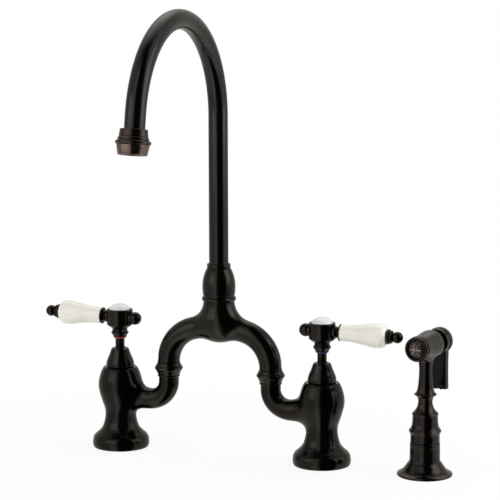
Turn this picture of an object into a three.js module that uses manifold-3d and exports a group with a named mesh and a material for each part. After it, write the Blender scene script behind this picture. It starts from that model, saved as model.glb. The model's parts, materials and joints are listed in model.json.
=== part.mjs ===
// Two handle bridge kitchen faucet with a gooseneck spout and a side sprayer.
// Millimetres, +Z up. The user stands at -Y, hot is at -X and cold at +X.
import * as THREE from "three";
import { mergeVertices } from "three/addons/utils/BufferGeometryUtils.js";
import Module from "manifold-3d";

const wasm = await Module();
wasm.setup();

// ---- Driving dimensions ----

// The row of holes in the deck.
const valveSpacing = 203.2;
const sprayerOffset = 99.9;
const sprayerForward = 4;

// Clearances: between pieces that touch, and around pieces that turn.
const gap = 0.3;
const turningGap = 0.4;

// Valve body: foot, waist and bulb, turned about the valve's axis.
const footRadius = 26.9;
const footEdge = 6;
const footBevel = 1;
const waistRadius = 14.6;
const waistZ = 33;
const bulbRadius = 20.9;
const bulbZ = 59;
const shoulderRadius = 16.4;
const shoulderZ = 76;
const shoulderBevel = 1;

// Elbow arm at the side of the valve body.
const armRadius = 10;
const armZ = 48.3;
const armRootRadius = 16.5;
const armRootStart = 16;
const armRootLength = 10.5;
const armRootLift = 2.5;
const armRootFlatness = 0.75;
const elbowRadius = 18.5;
const elbowRise = 4.4;
const waterwayRadius = 5.5;
const unionX = 51.3;

// Inside of the valve body.
const shankRadius = 8;
const shankDepth = 20;
const inletRadius = 4.5;
const cavityRadius = 9.5;
const cavityFloorZ = 32.2;

// Union between the elbow arm and the bridge.
const unionNutHeight = 15;
const unionRidgeRadius = 13.3;
const unionSlopeRadius = 11.1;
const unionEndRadius = 10.4;
const unionEndBand = 1.6;
const spigotRadius = 8.6;
const spigotHeight = 6.4;
const unionWasherRadius = 8;
const unionWasherHeight = 1.5;
const tailFlangeHeight = 2;
const tailStemRadius = 7.1;

// Bridge casting.
const bridgeRadius = 10.6;
const bridgeRise = 1.2;
const bridgeBend = 34;
const bridgeTurn = THREE.MathUtils.degToRad(76);
const neckRadius = 14.4;
const neckHeight = 19.1;
const neckFlareRadius = 24.5;
const neckFlareDrop = 16;
const bellyDrop = 18.9;
const beadRadius = 16;
const beadHeight = 4.5;
const nippleRadius = 12.6;
const nippleHeight = 14;
const socketDepth = 41;

// Nut at the foot of the spout.
const spoutNutRadius = 15.4;
const spoutNutFootRadius = 14.6;
const spoutNutHeight = 26;
const spoutNutRingRadius = 10.9;
const spoutNutRingHeight = 4.3;

// Gooseneck spout.
const spoutRadius = 8.85;
const spoutBore = 7.4;
const spoutEngagement = 27;
const ferruleBore = 5.4;
const spoutRise = 318;
const archRadius = 93;
const archSweep = THREE.MathUtils.degToRad(170);
const archStub = 11.5;
const spoutCollarRadius = 11.2;
const spoutCollarHeight = 2;
const bearingHeight = 1.2;
const sealSection = 0.85;
const sealSpacing = 7;

// Outlet bell and aerator.
const bellHeight = 22;
const bellCollarRadius = 11.8;
const bellStepRadius = 12.5;
const bellRingRadius = 13.4;
const bellBeadRadius = 15.4;
const bellCupRadius = 14;
const bellRimRadius = 12.5;
const bellEngagement = 8;
const aeratorRadius = 10.7;
const aeratorRecess = 1.6;
const aeratorWall = 1.3;
const aeratorWasherHeight = 1.6;
const screenThickness = 2;
const screenHoles = 6;
const screenHoleRadius = 1.4;

// Valve cartridge.
const seatSealHeight = 2.2;
const discHeight = 2;
const discPortRadius = 2.1;
const discPortOffset = 4.2;
const cartridgeWall = 1;
const footBarHeight = 3.8;
const footBarWidth = 4;
const chamberRadius = 6.6;
const chamberHeight = 13;
const windowRadius = 4;
const stemRadius = 4.35;
const stemSealSection = 0.5;

// Bonnet.
const bonnetRadius = 13.3;
const bonnetBand = 4.2;
const bonnetHeight = 18;
const bonnetTopRadius = 7.4;
const bonnetBevel = 0.5;
const bonnetTopBevel = 0.8;
const bonnetSkirtLength = 12;
const bonnetHollowRadius = 7.2;
const bonnetHollowDepth = 7;

// Handle hub, ring and button.
const stemShow = 9.6;
const ringRadius = 6.3;
const ringHeight = 1.2;
const hubFootRadius = 6.4;
const hubRidgeRadius = 8.4;
const hubRidgeRise = 3.4;
const hubRidgeBevel = 1.5;
const hubNeckRadius = 7.1;
const hubRadius = 12.3;
const hubHeight = 25.6;
const hubCupDrop = 16;
const hubCupBevel = 1.6;
const hubRimBevel = 0.9;
const leverDrop = 7.4;
const stemGrip = 11.5;
const buttonRadius = 9.9;
const buttonRise = 4.6;
const buttonSeat = 2.4;
const setScrewRadius = 1.5;
const setScrewHeight = 6;
const setScrewSocket = 0.8;
const setScrewAngle = THREE.MathUtils.degToRad(58);

// Cross lever: boss, collar, porcelain, finial and knob on one rod.
const tieRodRadius = 1.9;
const bossRadius = 5.6;
const bossLength = 0.9;
const collarLength = 4.6;
const collarRadius = 7.8;
const collarNeckRadius = 4.4;
const collarBevel = 0.5;
const porcelainLength = 43.5;
const porcelainRadius = 11.2;
const porcelainInnerRadius = 7.4;
const porcelainOuterRadius = 7;
const finialRingRadius = 6.9;
const finialStepRadius = 6;
const finialBallRadius = 5.3;
const finialLength = 15;
const finialGrip = 8;
const knobRadius = 6.1;
const knobSeat = 2.4;
const knobGrip = 4;

// Sprayer holder.
const holderFootRadius = 25.15;
const holderFootEdge = 2.3;
const holderRadius = 12.75;
const holderHeight = 30.5;
const holderBevel = 0.6;
const holderSlope = 13.3;
const holderLipHeight = 3.6;
const lipBulge = 0.5;
const holderWall = 1.8;
const holderFloor = 2.3;
const linerWall = 1;

// Sprayer handle and the coupling at its foot.
const sprayerYaw = THREE.MathUtils.degToRad(-8.4);
const skirtRadius = 12.2;
const ridgeRadius = 14;
const gripRadius = 10.6;
const ledgeRadius = 11.4;
const coveRadius = 6.4;
const collarRidgeRadius = 9.7;
const sprayNeckRadius = 5.8;
const sprayHandleHeight = 73;
const sprayWaterway = 3.2;
const couplingSpigotRadius = 6.9;
const couplingSpigotHeight = 9;
const couplingLength = 18;
const couplingBore = 3.5;
const couplingBevel = 1.5;

// Sprayer head, its axis level and pointing to the front.
const headRise = 14.8;
const headFront = 17;
const headRear = 12.5;
const headRadius = 12.9;
const headFrontRadius = 10.8;
const headBevel = 2;
const headBeadRadius = 11.5;
const headBeadLength = 3;
const headBossRadius = 6.7;
const headSocketRadius = 5.2;
const headSocketDepth = 7;
const rearNeckRadius = 7;
const rearNeckLength = 10.5;
const frontChamberRadius = 8;
const frontChamberDepth = 13;
const middleChamberRadius = 5.6;
const middleChamberLength = 9;
const valvePortRadius = 3;
const valveSeatThickness = 3;
const faceRadius = 8.9;
const faceThickness = 1.6;
const faceHoles = 8;
const faceHoleRadius = 0.7;
const faceRingRadius = 11.1;
const faceRingLength = 4.5;
const faceLip = 1.2;
const faceBevel = 0.8;
const faceHoleShare = 0.55;

// Trigger, its pin, the plunger and the spring.
const capRadius = 12.2;
const capLength = 11;
const capSetback = 9.5;
const capFloor = 5;
const capWall = 1.9;
const capBevel = 1.2;
const capStep = 0.7;
const pivotRise = 7.4;
const pivotSetback = 2.6;
const pinRadius = 1.2;
const earWidth = 5;
const earRadius = 2.2;
const paddleWidth = 13.5;
const paddleThickness = 2.6;
const paddleBow = 2.2;
const paddleDrop = 44;
const plungerRadius = 1.8;
const plungerHeadRadius = 4.8;
const plungerHeadLength = 2.4;
const plungerCollarRadius = 4.4;
const plungerCollarLength = 1.4;
const springPocketRadius = 5.2;
const springPocketDepth = 10;
const springWire = 0.45;
const springRadius = 3.4;
const springTurns = 5;

// Facets round a turned piece, by its size.
const large = 16;
const medium = 14;
const small = 12;
const tiny = 8;

// ---- Finishes ----

const finish = (color, roughness, metalness) =>
  new THREE.MeshStandardMaterial({ color, roughness, metalness });
const bronze = finish(0x1d1a17, 0.34, 0.9);
const porcelain = finish(0xf1eee6, 0.12, 0);
const brass = finish(0xa98a4e, 0.35, 1);
const ceramic = finish(0xe4e0d8, 0.3, 0);
const rubber = finish(0x161616, 0.8, 0);
const nylon = finish(0xd8d6cf, 0.5, 0);
const darkNylon = finish(0x1b1a19, 0.5, 0);
const steel = finish(0x9a9a98, 0.3, 1);
const redRing = finish(0xb3261e, 0.4, 0);
const blueRing = finish(0x1f2f66, 0.4, 0);

// ---- Shape helpers ----

const mix = THREE.MathUtils.lerp;

// Points of a smooth line through [radius, height] knots.
function smooth(knots, steps) {
  const line = new THREE.SplineCurve(knots.map(([r, z]) => new THREE.Vector2(r, z)));
  return line.getPoints(steps).map((point) => [point.x, point.y]);
}

// Points of a round edge from one [radius, height] corner to another, bulging away from the axis.
function roundEdge(radius, lowZ, highZ, bulge, steps) {
  return Array.from({ length: steps + 1 }, (_, i) => {
    const turn = (Math.PI * i) / steps;
    return [radius + bulge * Math.sin(turn), mix(lowZ, highZ, (1 - Math.cos(turn)) / 2)];
  });
}

// A solid turned about Z from an outline of [radius, height] points, listed upwards along its outside.
function turned(outline, sides) {
  const points = outline.map(([radius, height]) => new THREE.Vector2(radius, height));
  const startsOnAxis = points[0].x === 0 && points.at(-1).x === 0;
  if (!startsOnAxis) points.push(points[0].clone());
  return new THREE.LatheGeometry(points, sides).rotateX(Math.PI / 2);
}

// A plain round bar or disc about Z.
function bar(radius, lowZ, highZ, sides) {
  return turned(
    [
      [0, lowZ],
      [radius, lowZ],
      [radius, highZ],
      [0, highZ],
    ],
    sides,
  );
}

// A plain ring about Z.
function ring(innerRadius, outerRadius, lowZ, highZ, sides) {
  return turned(
    [
      [innerRadius, lowZ],
      [outerRadius, lowZ],
      [outerRadius, highZ],
      [innerRadius, highZ],
    ],
    sides,
  );
}

// A ring of round section about Z.
function sealRing(innerRadius, section, z, sides) {
  const steps = 6;
  const outline = Array.from({ length: steps }, (_, i) => {
    const turn = (2 * Math.PI * i) / steps - Math.PI / 2;
    return [innerRadius + section + section * Math.cos(turn), z + section * Math.sin(turn)];
  });
  return turned(outline, sides);
}

// A centreline of straight runs and bends, with stations only where it turns.
class Route extends THREE.Curve {
  constructor(start, direction) {
    super();
    this.stations = [{ point: start.clone(), tangent: direction.clone().normalize() }];
  }

  get end() {
    return this.stations.at(-1);
  }

  run(length) {
    const { point, tangent } = this.end;
    const place = point.clone().addScaledVector(tangent, length);
    this.stations.push({ point: place, tangent: tangent.clone() });
    return this;
  }

  // Turns by angle towards the side vector, on an arc of the given radius.
  bend(radius, angle, side, steps) {
    const { point, tangent } = this.end;
    for (let i = 1; i <= steps; i += 1) {
      const turn = (angle * i) / steps;
      const along = tangent.clone().multiplyScalar(Math.cos(turn)).addScaledVector(side, Math.sin(turn));
      const place = point
        .clone()
        .addScaledVector(tangent, radius * Math.sin(turn))
        .addScaledVector(side, radius * (1 - Math.cos(turn)));
      this.stations.push({ point: place, tangent: along });
    }
    return this;
  }

  between(t) {
    const place = t * (this.stations.length - 1);
    const index = Math.min(Math.floor(place), this.stations.length - 2);
    return [this.stations[index], this.stations[index + 1], place - index];
  }

  getPoint(t, target = new THREE.Vector3()) {
    const [a, b, share] = this.between(t);
    return target.lerpVectors(a.point, b.point, share);
  }

  getTangent(t, target = new THREE.Vector3()) {
    const [a, b, share] = this.between(t);
    return target.lerpVectors(a.tangent, b.tangent, share).normalize();
  }

  getUtoTmapping(u) {
    return u;
  }
}

// A round solid along a route.
function tube(route, radius, sides) {
  const section = new THREE.Shape(
    Array.from({ length: sides }, (_, i) => {
      const turn = (2 * Math.PI * i) / sides;
      return new THREE.Vector2(radius * Math.cos(turn), radius * Math.sin(turn));
    }),
  );
  return new THREE.ExtrudeGeometry(section, { steps: route.stations.length - 1, extrudePath: route });
}

function solidOf(geometry) {
  const bare = geometry.clone();
  bare.deleteAttribute("normal");
  bare.deleteAttribute("uv");
  const merged = mergeVertices(bare, 1e-4);
  return new wasm.Manifold(
    new wasm.Mesh({
      numProp: 3,
      vertProperties: merged.attributes.position.array,
      triVerts: new Uint32Array(merged.index.array),
    }),
  );
}

function geometryOf(solid) {
  const { vertProperties, triVerts } = solid.getMesh();
  const geometry = new THREE.BufferGeometry()
    .setAttribute("position", new THREE.BufferAttribute(vertProperties, 3))
    .setIndex(new THREE.BufferAttribute(triVerts, 1))
    .toNonIndexed();
  geometry.computeVertexNormals();
  return geometry;
}

const join = (first, ...others) =>
  geometryOf(others.reduce((whole, other) => whole.add(solidOf(other)), solidOf(first)));

const cut = (body, ...tools) =>
  geometryOf(tools.reduce((left, tool) => left.subtract(solidOf(tool)), solidOf(body)));

const alongX = (geometry) => geometry.rotateY(Math.PI / 2);
const toFront = (geometry) => geometry.rotateX(Math.PI / 2);

// Adds one named piece with its own copy of a finish.
function piece(parent, name, geometry, material) {
  const mesh = new THREE.Mesh(geometry, material.clone());
  mesh.name = name;
  parent.add(mesh);
}

// ---- Places that several pieces share ----

const up = new THREE.Vector3(0, 0, 1);
const inward = new THREE.Vector3(1, 0, 0);
const bodyTopZ = shoulderZ + shoulderBevel;
const armReach = valveSpacing / 2 - unionX - elbowRadius;
const armTopZ = armZ + elbowRadius + elbowRise;
const unionNutZ = armTopZ + gap;
const spigotTopZ = armTopZ + spigotHeight;
const unionWasherZ = spigotTopZ + gap;
const tailZ = unionWasherZ + unionWasherHeight + gap;
const tailFlangeTopZ = tailZ + tailFlangeHeight;
const bridgeZ = unionNutZ + unionNutHeight + gap;
const bendX = unionX - bridgeBend * (1 - Math.cos(bridgeTurn));
const bendZ = bridgeZ + bridgeRise + bridgeBend * Math.sin(bridgeTurn);
const hubZ = bendZ + (bendX * Math.cos(bridgeTurn)) / Math.sin(bridgeTurn);
const beadZ = hubZ + neckHeight;
const beadTopZ = beadZ + beadHeight;
const nippleTopZ = beadTopZ + nippleHeight;
const socketRadius = spoutRadius + turningGap;
const bearingZ = nippleTopZ + gap;
const spoutCollarZ = bearingZ + bearingHeight + gap;
const spoutShoulderZ = spoutCollarZ + spoutCollarHeight + gap;
const spoutFootZ = nippleTopZ - spoutEngagement;

const bonnetZ = bodyTopZ + gap;
const bonnetTopZ = bonnetZ + bonnetHeight;
const cartridgeZ = cavityFloorZ + gap;
const cartridgeTopZ = bonnetZ - bonnetSkirtLength - gap;
const cartridgeRadius = cavityRadius - gap;
const cartridgeBore = cartridgeRadius - cartridgeWall;
const fixedDiscZ = cartridgeZ + seatSealHeight + gap;
const movingDiscZ = fixedDiscZ + discHeight + gap;
const stemFootZ = movingDiscZ + discHeight + gap;
const chamberZ = stemFootZ + footBarHeight + gap;
const stemBore = stemRadius + turningGap;
const stemSealZ = (chamberZ + chamberHeight + cartridgeTopZ) / 2;
const ringZ = bonnetTopZ + stemShow;
const hubBottomZ = ringZ + ringHeight + gap;
const hubTopZ = hubBottomZ + hubHeight;
const leverZ = hubTopZ - leverDrop;
const stemTopZ = hubBottomZ + stemGrip;
const bossEnd = hubRadius + bossLength;
const collarStart = bossEnd + gap;
const porcelainStart = collarStart + collarLength + gap;
const porcelainEnd = porcelainStart + porcelainLength;
const finialStart = porcelainEnd + gap;
const rodHole = tieRodRadius + gap;

const handleFootZ = holderHeight + gap;
const handleTopZ = handleFootZ + sprayHandleHeight;
const headZ = handleTopZ + headRise;
const couplingTopZ = handleFootZ + couplingSpigotHeight;
const headSocketTopZ = handleTopZ + headSocketDepth;
const seatFront = headFront - frontChamberDepth;
const seatRear = seatFront - valveSeatThickness;
const rearEnd = headRear + rearNeckLength;
const capFront = headRear + capSetback;
const capRear = capFront + capLength;
const capInner = capRadius - capWall;
const capFace = capRear - capFloor;
const pocketFloor = rearEnd - springPocketDepth;
const pivotBack = capFront + pivotSetback;

// ---- Valve bodies, with their arms towards the middle of the row ----

function armRoute() {
  return new Route(new THREE.Vector3(0, 0, armZ), inward)
    .run(armReach)
    .bend(elbowRadius, Math.PI / 2, up, 5)
    .run(elbowRise);
}

function valveBody() {
  const foot = [
    [0, 0],
    [footRadius - footBevel, 0],
    [footRadius, footBevel],
  ];
  const cove = smooth(
    [
      [footRadius, footEdge],
      [mix(footRadius, waistRadius, 0.1), mix(footEdge, waistZ, 0.14)],
      [mix(footRadius, waistRadius, 0.42), mix(footEdge, waistZ, 0.3)],
      [mix(footRadius, waistRadius, 0.74), mix(footEdge, waistZ, 0.45)],
      [mix(footRadius, waistRadius, 0.91), mix(footEdge, waistZ, 0.67)],
      [waistRadius, waistZ],
      [mix(waistRadius, bulbRadius, 0.5), mix(waistZ, bulbZ, 0.49)],
      [bulbRadius, bulbZ],
      [mix(bulbRadius, shoulderRadius, 0.28), mix(bulbZ, shoulderZ, 0.55)],
      [shoulderRadius, shoulderZ],
    ],
    12,
  );
  const top = [
    [shoulderRadius - shoulderBevel, bodyTopZ],
    [0, bodyTopZ],
  ];
  const post = turned([...foot, ...cove, ...top], large);
  const rootTip = armRadius - armRootLift;
  const rootAt = (share) => armRootStart + armRootLength * share;
  const armRoot = alongX(
    turned(
      [
        [0, 0],
        [armRootRadius, 0],
        ...smooth(
          [
            [armRootRadius, rootAt(0)],
            [mix(rootTip, armRootRadius, 0.85), rootAt(0.4)],
            [mix(rootTip, armRootRadius, 0.55), rootAt(0.63)],
            [mix(rootTip, armRootRadius, 0.22), rootAt(0.82)],
            [rootTip, rootAt(1)],
          ],
          4,
        ),
        [0, rootAt(1)],
      ],
      medium,
    ),
  )
    .scale(1, armRootFlatness, 1)
    .translate(0, 0, armZ + armRootLift);
  const armEnd = armRoute().end.point;
  const spigot = bar(spigotRadius, armTopZ - gap, spigotTopZ, medium).translate(armEnd.x, 0, 0);
  const arm = tube(armRoute(), armRadius, medium);
  const passages = turned(
    [
      [0, -gap],
      [shankRadius, -gap],
      [shankRadius, shankDepth],
      [inletRadius, shankDepth],
      [inletRadius, cavityFloorZ],
      [cavityRadius, cavityFloorZ],
      [cavityRadius, bodyTopZ + gap],
      [0, bodyTopZ + gap],
    ],
    medium,
  );
  const waterway = tube(armRoute().run(spigotHeight + gap), waterwayRadius, tiny);
  return cut(join(post, armRoot, arm, spigot), passages, waterway);
}

function unionNut() {
  const topZ = unionNutZ + unionNutHeight;
  const ridgeZ = mix(unionNutZ, topZ, 0.5);
  const mouthZ = tailFlangeTopZ + gap;
  const bore = spigotRadius + turningGap;
  const throat = tailStemRadius + gap;
  return turned(
    [
      [bore, unionNutZ],
      [unionEndRadius, unionNutZ],
      [unionEndRadius, unionNutZ + unionEndBand],
      [unionSlopeRadius, mix(unionNutZ, ridgeZ, 0.55)],
      [unionRidgeRadius, ridgeZ],
      [unionSlopeRadius, mix(ridgeZ, topZ, 0.45)],
      [unionEndRadius, topZ - unionEndBand],
      [unionEndRadius, topZ],
      [throat, topZ],
      [throat, mouthZ],
      [bore, mouthZ],
    ],
    medium,
  );
}

function unionWasher() {
  return ring(waterwayRadius, unionWasherRadius, unionWasherZ, unionWasherZ + unionWasherHeight, small);
}

// ---- Bridge and spout nut ----

function bridgeRoute(side) {
  return new Route(new THREE.Vector3(side * unionX, 0, bridgeZ), up)
    .run(bridgeRise)
    .bend(bridgeBend, bridgeTurn, new THREE.Vector3(-side, 0, 0), 5)
    .run(bendX / Math.sin(bridgeTurn));
}

function bridge() {
  const hub = turned(
    [
      ...smooth(
        [
          [0, hubZ - bellyDrop],
          [neckRadius * 0.6, hubZ - bellyDrop * 0.95],
          [neckRadius * 0.93, hubZ - bellyDrop * 0.78],
          [neckRadius, hubZ - bellyDrop * 0.3],
        ],
        5,
      ),
      [neckRadius, beadZ],
      ...roundEdge(neckRadius, beadZ + gap, beadTopZ - gap, beadRadius - neckRadius, 3),
      [neckRadius, beadTopZ],
      [nippleRadius, beadTopZ],
      [nippleRadius, nippleTopZ],
      [0, nippleTopZ],
    ],
    large,
  );
  const flareAt = (share) => mix(neckRadius, neckFlareRadius, share);
  const flare = turned(
    [
      [0, beadZ - 2 * neckFlareDrop],
      ...smooth(
        [
          [neckFlareRadius, beadZ - neckFlareDrop],
          [flareAt(0.55), beadZ - neckFlareDrop * 0.7],
          [flareAt(0.24), beadZ - neckFlareDrop * 0.43],
          [flareAt(0.05), beadZ - neckFlareDrop * 0.16],
          [neckRadius, beadZ - gap],
        ],
        4,
      ),
      [0, beadZ - gap],
    ],
    large,
  ).scale(1, neckRadius / neckFlareRadius, 1);
  const arms = [-1, 1].map((side) => tube(bridgeRoute(side), bridgeRadius, medium));
  const tails = [-1, 1].map((side) =>
    turned(
      [
        [0, tailZ],
        [spigotRadius, tailZ],
        [spigotRadius, tailFlangeTopZ],
        [tailStemRadius, tailFlangeTopZ],
        [tailStemRadius, bridgeZ + gap],
        [0, bridgeZ + gap],
      ],
      medium,
    ).translate(side * unionX, 0, 0),
  );
  const tailBores = [-1, 1].map((side) =>
    bar(waterwayRadius, tailZ - gap, bridgeZ + gap, tiny).translate(side * unionX, 0, 0),
  );
  const waterways = [-1, 1].map((side) => tube(bridgeRoute(side), waterwayRadius, tiny));
  const socket = bar(socketRadius, nippleTopZ - socketDepth, nippleTopZ + gap, large);
  return cut(join(hub, flare, ...arms, ...tails), socket, ...tailBores, ...waterways);
}

function spoutNut() {
  const footZ = beadTopZ + gap;
  const ringFootZ = footZ + spoutNutHeight;
  const ringTopZ = ringFootZ + spoutNutRingHeight;
  const ringBulge = 0.4;
  const ringFootRadius = spoutNutRingRadius - ringBulge;
  const bore = nippleRadius + gap;
  const throat = spoutRadius + turningGap;
  return turned(
    [
      [bore, footZ],
      ...smooth(
        [
          [spoutNutFootRadius, footZ],
          [spoutNutRadius, footZ + spoutNutHeight * 0.34],
          [mix(spoutNutRingRadius, spoutNutRadius, 0.78), footZ + spoutNutHeight * 0.7],
          [ringFootRadius, ringFootZ],
        ],
        6,
      ),
      ...roundEdge(ringFootRadius, ringFootZ + gap, ringTopZ, ringBulge, 3),
      [throat, ringTopZ],
      [throat, spoutShoulderZ],
      [bore, spoutShoulderZ],
    ],
    large,
  );
}

// ---- Spout, which turns about the row's middle ----

const spoutSealZ = [spoutFootZ + sealSpacing, spoutFootZ + 2 * sealSpacing];
const spoutGroove = socketRadius - gap - 2 * sealSection;

function spoutRoute(startZ) {
  const forward = new THREE.Vector3(0, -1, 0);
  return new Route(new THREE.Vector3(0, 0, startZ), up)
    .run(spoutRise - startZ)
    .bend(archRadius, archSweep, forward, 12)
    .run(archStub);
}

function bearingRing() {
  return ring(spoutRadius + turningGap, nippleRadius - gap, bearingZ, bearingZ + bearingHeight, small);
}

function spoutSeal(z) {
  return sealRing(spoutGroove + gap / 2, sealSection, z, small);
}

function spoutTube() {
  const grooves = spoutSealZ.map((z) =>
    ring(spoutGroove - gap, spoutRadius + gap, z - sealSection - gap, z + sealSection + gap, medium),
  );
  const collarTopZ = spoutCollarZ + spoutCollarHeight;
  const pipe = tube(spoutRoute(spoutFootZ).run(bellEngagement), spoutRadius, medium);
  const collar = bar(spoutCollarRadius, spoutCollarZ, collarTopZ, medium);
  const ferrule = bar(ferruleBore, spoutFootZ - gap, collarTopZ + gap, small);
  const bore = tube(spoutRoute(collarTopZ).run(bellEngagement + gap), spoutBore, small);
  return cut(join(pipe, collar), ferrule, bore, ...grooves);
}

// The outlet's own frame: its top at the end of the spout's stub, its axis in line with the stub.
function outletGroup(parent) {
  const { point, tangent } = spoutRoute(spoutFootZ).end;
  const group = new THREE.Group();
  group.position.copy(point);
  group.quaternion.setFromUnitVectors(up, tangent.clone().negate());
  parent.add(group);
  return group;
}

const aeratorWasherTop = -(bellEngagement + gap);
const aeratorTop = aeratorWasherTop - aeratorWasherHeight - gap;
const aeratorBottom = -(bellHeight - aeratorRecess);

function outletBell() {
  const mouth = aeratorRadius + gap;
  const bore = spoutRadius + gap;
  const down = (share) => -bellHeight * share;
  return turned(
    [
      [mouth, down(1)],
      [bellRimRadius, down(1)],
      [bellRimRadius, down(0.95)],
      [bellCupRadius, down(0.62)],
      ...roundEdge(bellCupRadius, down(0.61), down(0.43), bellBeadRadius - bellCupRadius, 3),
      [bellRingRadius, down(0.43)],
      [bellRingRadius, down(0.33)],
      [bellStepRadius, down(0.3)],
      [bellCollarRadius, 0],
      [bore, 0],
      [bore, aeratorWasherTop + gap],
      [mouth, aeratorWasherTop + gap],
    ],
    medium,
  );
}

function aeratorWasher() {
  const lowZ = aeratorWasherTop - aeratorWasherHeight;
  return ring(spoutBore, aeratorRadius, lowZ, aeratorWasherTop, small);
}

function aeratorHousing() {
  const bore = aeratorRadius - aeratorWall;
  const ledge = bore - aeratorWall;
  return turned(
    [
      [ledge, aeratorBottom],
      [aeratorRadius, aeratorBottom],
      [aeratorRadius, aeratorTop],
      [bore, aeratorTop],
      [bore, aeratorBottom + aeratorWall],
      [ledge, aeratorBottom + aeratorWall],
    ],
    small,
  );
}

function aeratorScreen() {
  const radius = aeratorRadius - aeratorWall - gap;
  const lowZ = aeratorBottom + aeratorWall + gap;
  const holeCircle = radius * 0.6;
  const holes = Array.from({ length: screenHoles }, (_, i) => {
    const turn = (2 * Math.PI * i) / screenHoles;
    return bar(screenHoleRadius, lowZ - gap, lowZ + screenThickness + gap, 6).translate(
      holeCircle * Math.cos(turn),
      holeCircle * Math.sin(turn),
      0,
    );
  });
  return cut(bar(radius, lowZ, lowZ + screenThickness, small), ...holes);
}

// ---- Valve parts about their own axis, lever towards -X ----

function bonnet() {
  const skirt = cavityRadius - gap;
  const skirtZ = bonnetZ - bonnetSkirtLength;
  return turned(
    [
      [bonnetHollowRadius, skirtZ],
      [skirt, skirtZ],
      [skirt, bonnetZ],
      [bonnetRadius - bonnetBevel, bonnetZ],
      [bonnetRadius, bonnetZ + bonnetBevel],
      [bonnetRadius, bonnetZ + bonnetBand],
      [bonnetTopRadius + bonnetTopBevel, bonnetTopZ - 2 * bonnetTopBevel],
      [bonnetTopRadius, bonnetTopZ],
      [stemBore, bonnetTopZ],
      [stemBore, skirtZ + bonnetHollowDepth],
      [bonnetHollowRadius, skirtZ + bonnetHollowDepth],
    ],
    medium,
  );
}

function cartridge() {
  const shell = turned(
    [
      [cartridgeBore, cartridgeZ],
      [cartridgeRadius, cartridgeZ],
      [cartridgeRadius, cartridgeTopZ],
      [stemBore, cartridgeTopZ],
      [stemBore, chamberZ + chamberHeight],
      [chamberRadius, chamberZ + chamberHeight],
      [chamberRadius, chamberZ],
      [cartridgeBore, chamberZ],
    ],
    small,
  );
  const window = alongX(bar(windowRadius, 0, 2 * cavityRadius, small)).translate(0, 0, armZ);
  return cut(shell, window);
}

// A ceramic disc with two ports, on the line at the given angle.
function portedDisc(radius, lowZ, angle) {
  const ports = [0, Math.PI].map((half) =>
    bar(discPortRadius, lowZ - gap, lowZ + discHeight + gap, tiny).translate(
      discPortOffset * Math.cos(angle + half),
      discPortOffset * Math.sin(angle + half),
      0,
    ),
  );
  return cut(bar(radius, lowZ, lowZ + discHeight, small), ...ports);
}

function seatSeal() {
  return ring(inletRadius, cartridgeBore - gap, cartridgeZ, cartridgeZ + seatSealHeight, small);
}

function stem() {
  const groove = stemBore - gap - 2 * stemSealSection;
  const halfGroove = stemSealSection + gap;
  const shaft = turned(
    [
      [0, stemFootZ],
      [cartridgeBore - 2 * gap, stemFootZ],
      [cartridgeBore - 2 * gap, stemFootZ + footBarHeight],
      [stemRadius, stemFootZ + footBarHeight],
      [stemRadius, stemSealZ - halfGroove],
      [groove, stemSealZ - halfGroove],
      [groove, stemSealZ + halfGroove],
      [stemRadius, stemSealZ + halfGroove],
      [stemRadius, stemTopZ],
      [0, stemTopZ],
    ],
    small,
  );
  const flats = [-1, 1].map((side) =>
    new THREE.BoxGeometry(2 * cavityRadius, 2 * cavityRadius, footBarHeight + gap).translate(
      side * (cavityRadius + footBarWidth / 2),
      0,
      stemFootZ + footBarHeight / 2 - gap / 2,
    ),
  );
  return cut(shaft, ...flats);
}

function stemSeal() {
  const inner = stemBore - gap / 2 - 2 * stemSealSection;
  return sealRing(inner, stemSealSection, stemSealZ, small);
}

function colourRing() {
  return ring(stemRadius + gap, ringRadius, ringZ, ringZ + ringHeight, small);
}

function hub() {
  const ridgeZ = hubBottomZ + hubRidgeRise;
  const cupZ = hubTopZ - hubCupDrop;
  const seatZ = hubTopZ - buttonSeat - gap;
  const body = turned(
    [
      [0, hubBottomZ],
      [hubFootRadius, hubBottomZ],
      [hubRidgeRadius, ridgeZ],
      [hubNeckRadius, ridgeZ + hubRidgeBevel],
      [hubNeckRadius, cupZ - hubCupBevel],
      [hubRadius - hubCupBevel, cupZ],
      [hubRadius, cupZ + hubCupBevel],
      [hubRadius, hubTopZ - hubRimBevel],
      [hubRadius - hubRimBevel, hubTopZ],
      [buttonRadius + gap, hubTopZ],
      [buttonRadius + gap, seatZ],
      [0, seatZ],
    ],
    medium,
  );
  const boss = alongX(bar(bossRadius, -bossEnd, bossEnd, small)).translate(0, 0, leverZ);
  const cupSpace = bar(buttonRadius + gap, seatZ, hubTopZ + gap, medium);
  const stemHole = bar(stemRadius + gap, hubBottomZ - gap, stemTopZ + gap, small);
  const rodBore = alongX(bar(rodHole, -bossEnd - gap, bossEnd + gap, tiny)).translate(0, 0, leverZ);
  const screwHole = setScrewTool(setScrewRadius + gap, 0, hubRidgeRadius);
  return cut(join(body, boss), cupSpace, stemHole, rodBore, screwHole);
}

// A round bar along the set screw's own direction, between two distances from the valve's axis.
function setScrewTool(radius, near, far) {
  return toFront(bar(radius, near, far, tiny))
    .rotateZ(setScrewAngle)
    .translate(0, 0, hubBottomZ + setScrewHeight);
}

function setScrew() {
  const near = stemRadius + gap;
  const far = hubNeckRadius;
  const middle = (near + far) / 2;
  return cut(setScrewTool(setScrewRadius, near, far), setScrewTool(setScrewSocket, middle, far + gap));
}

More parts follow.
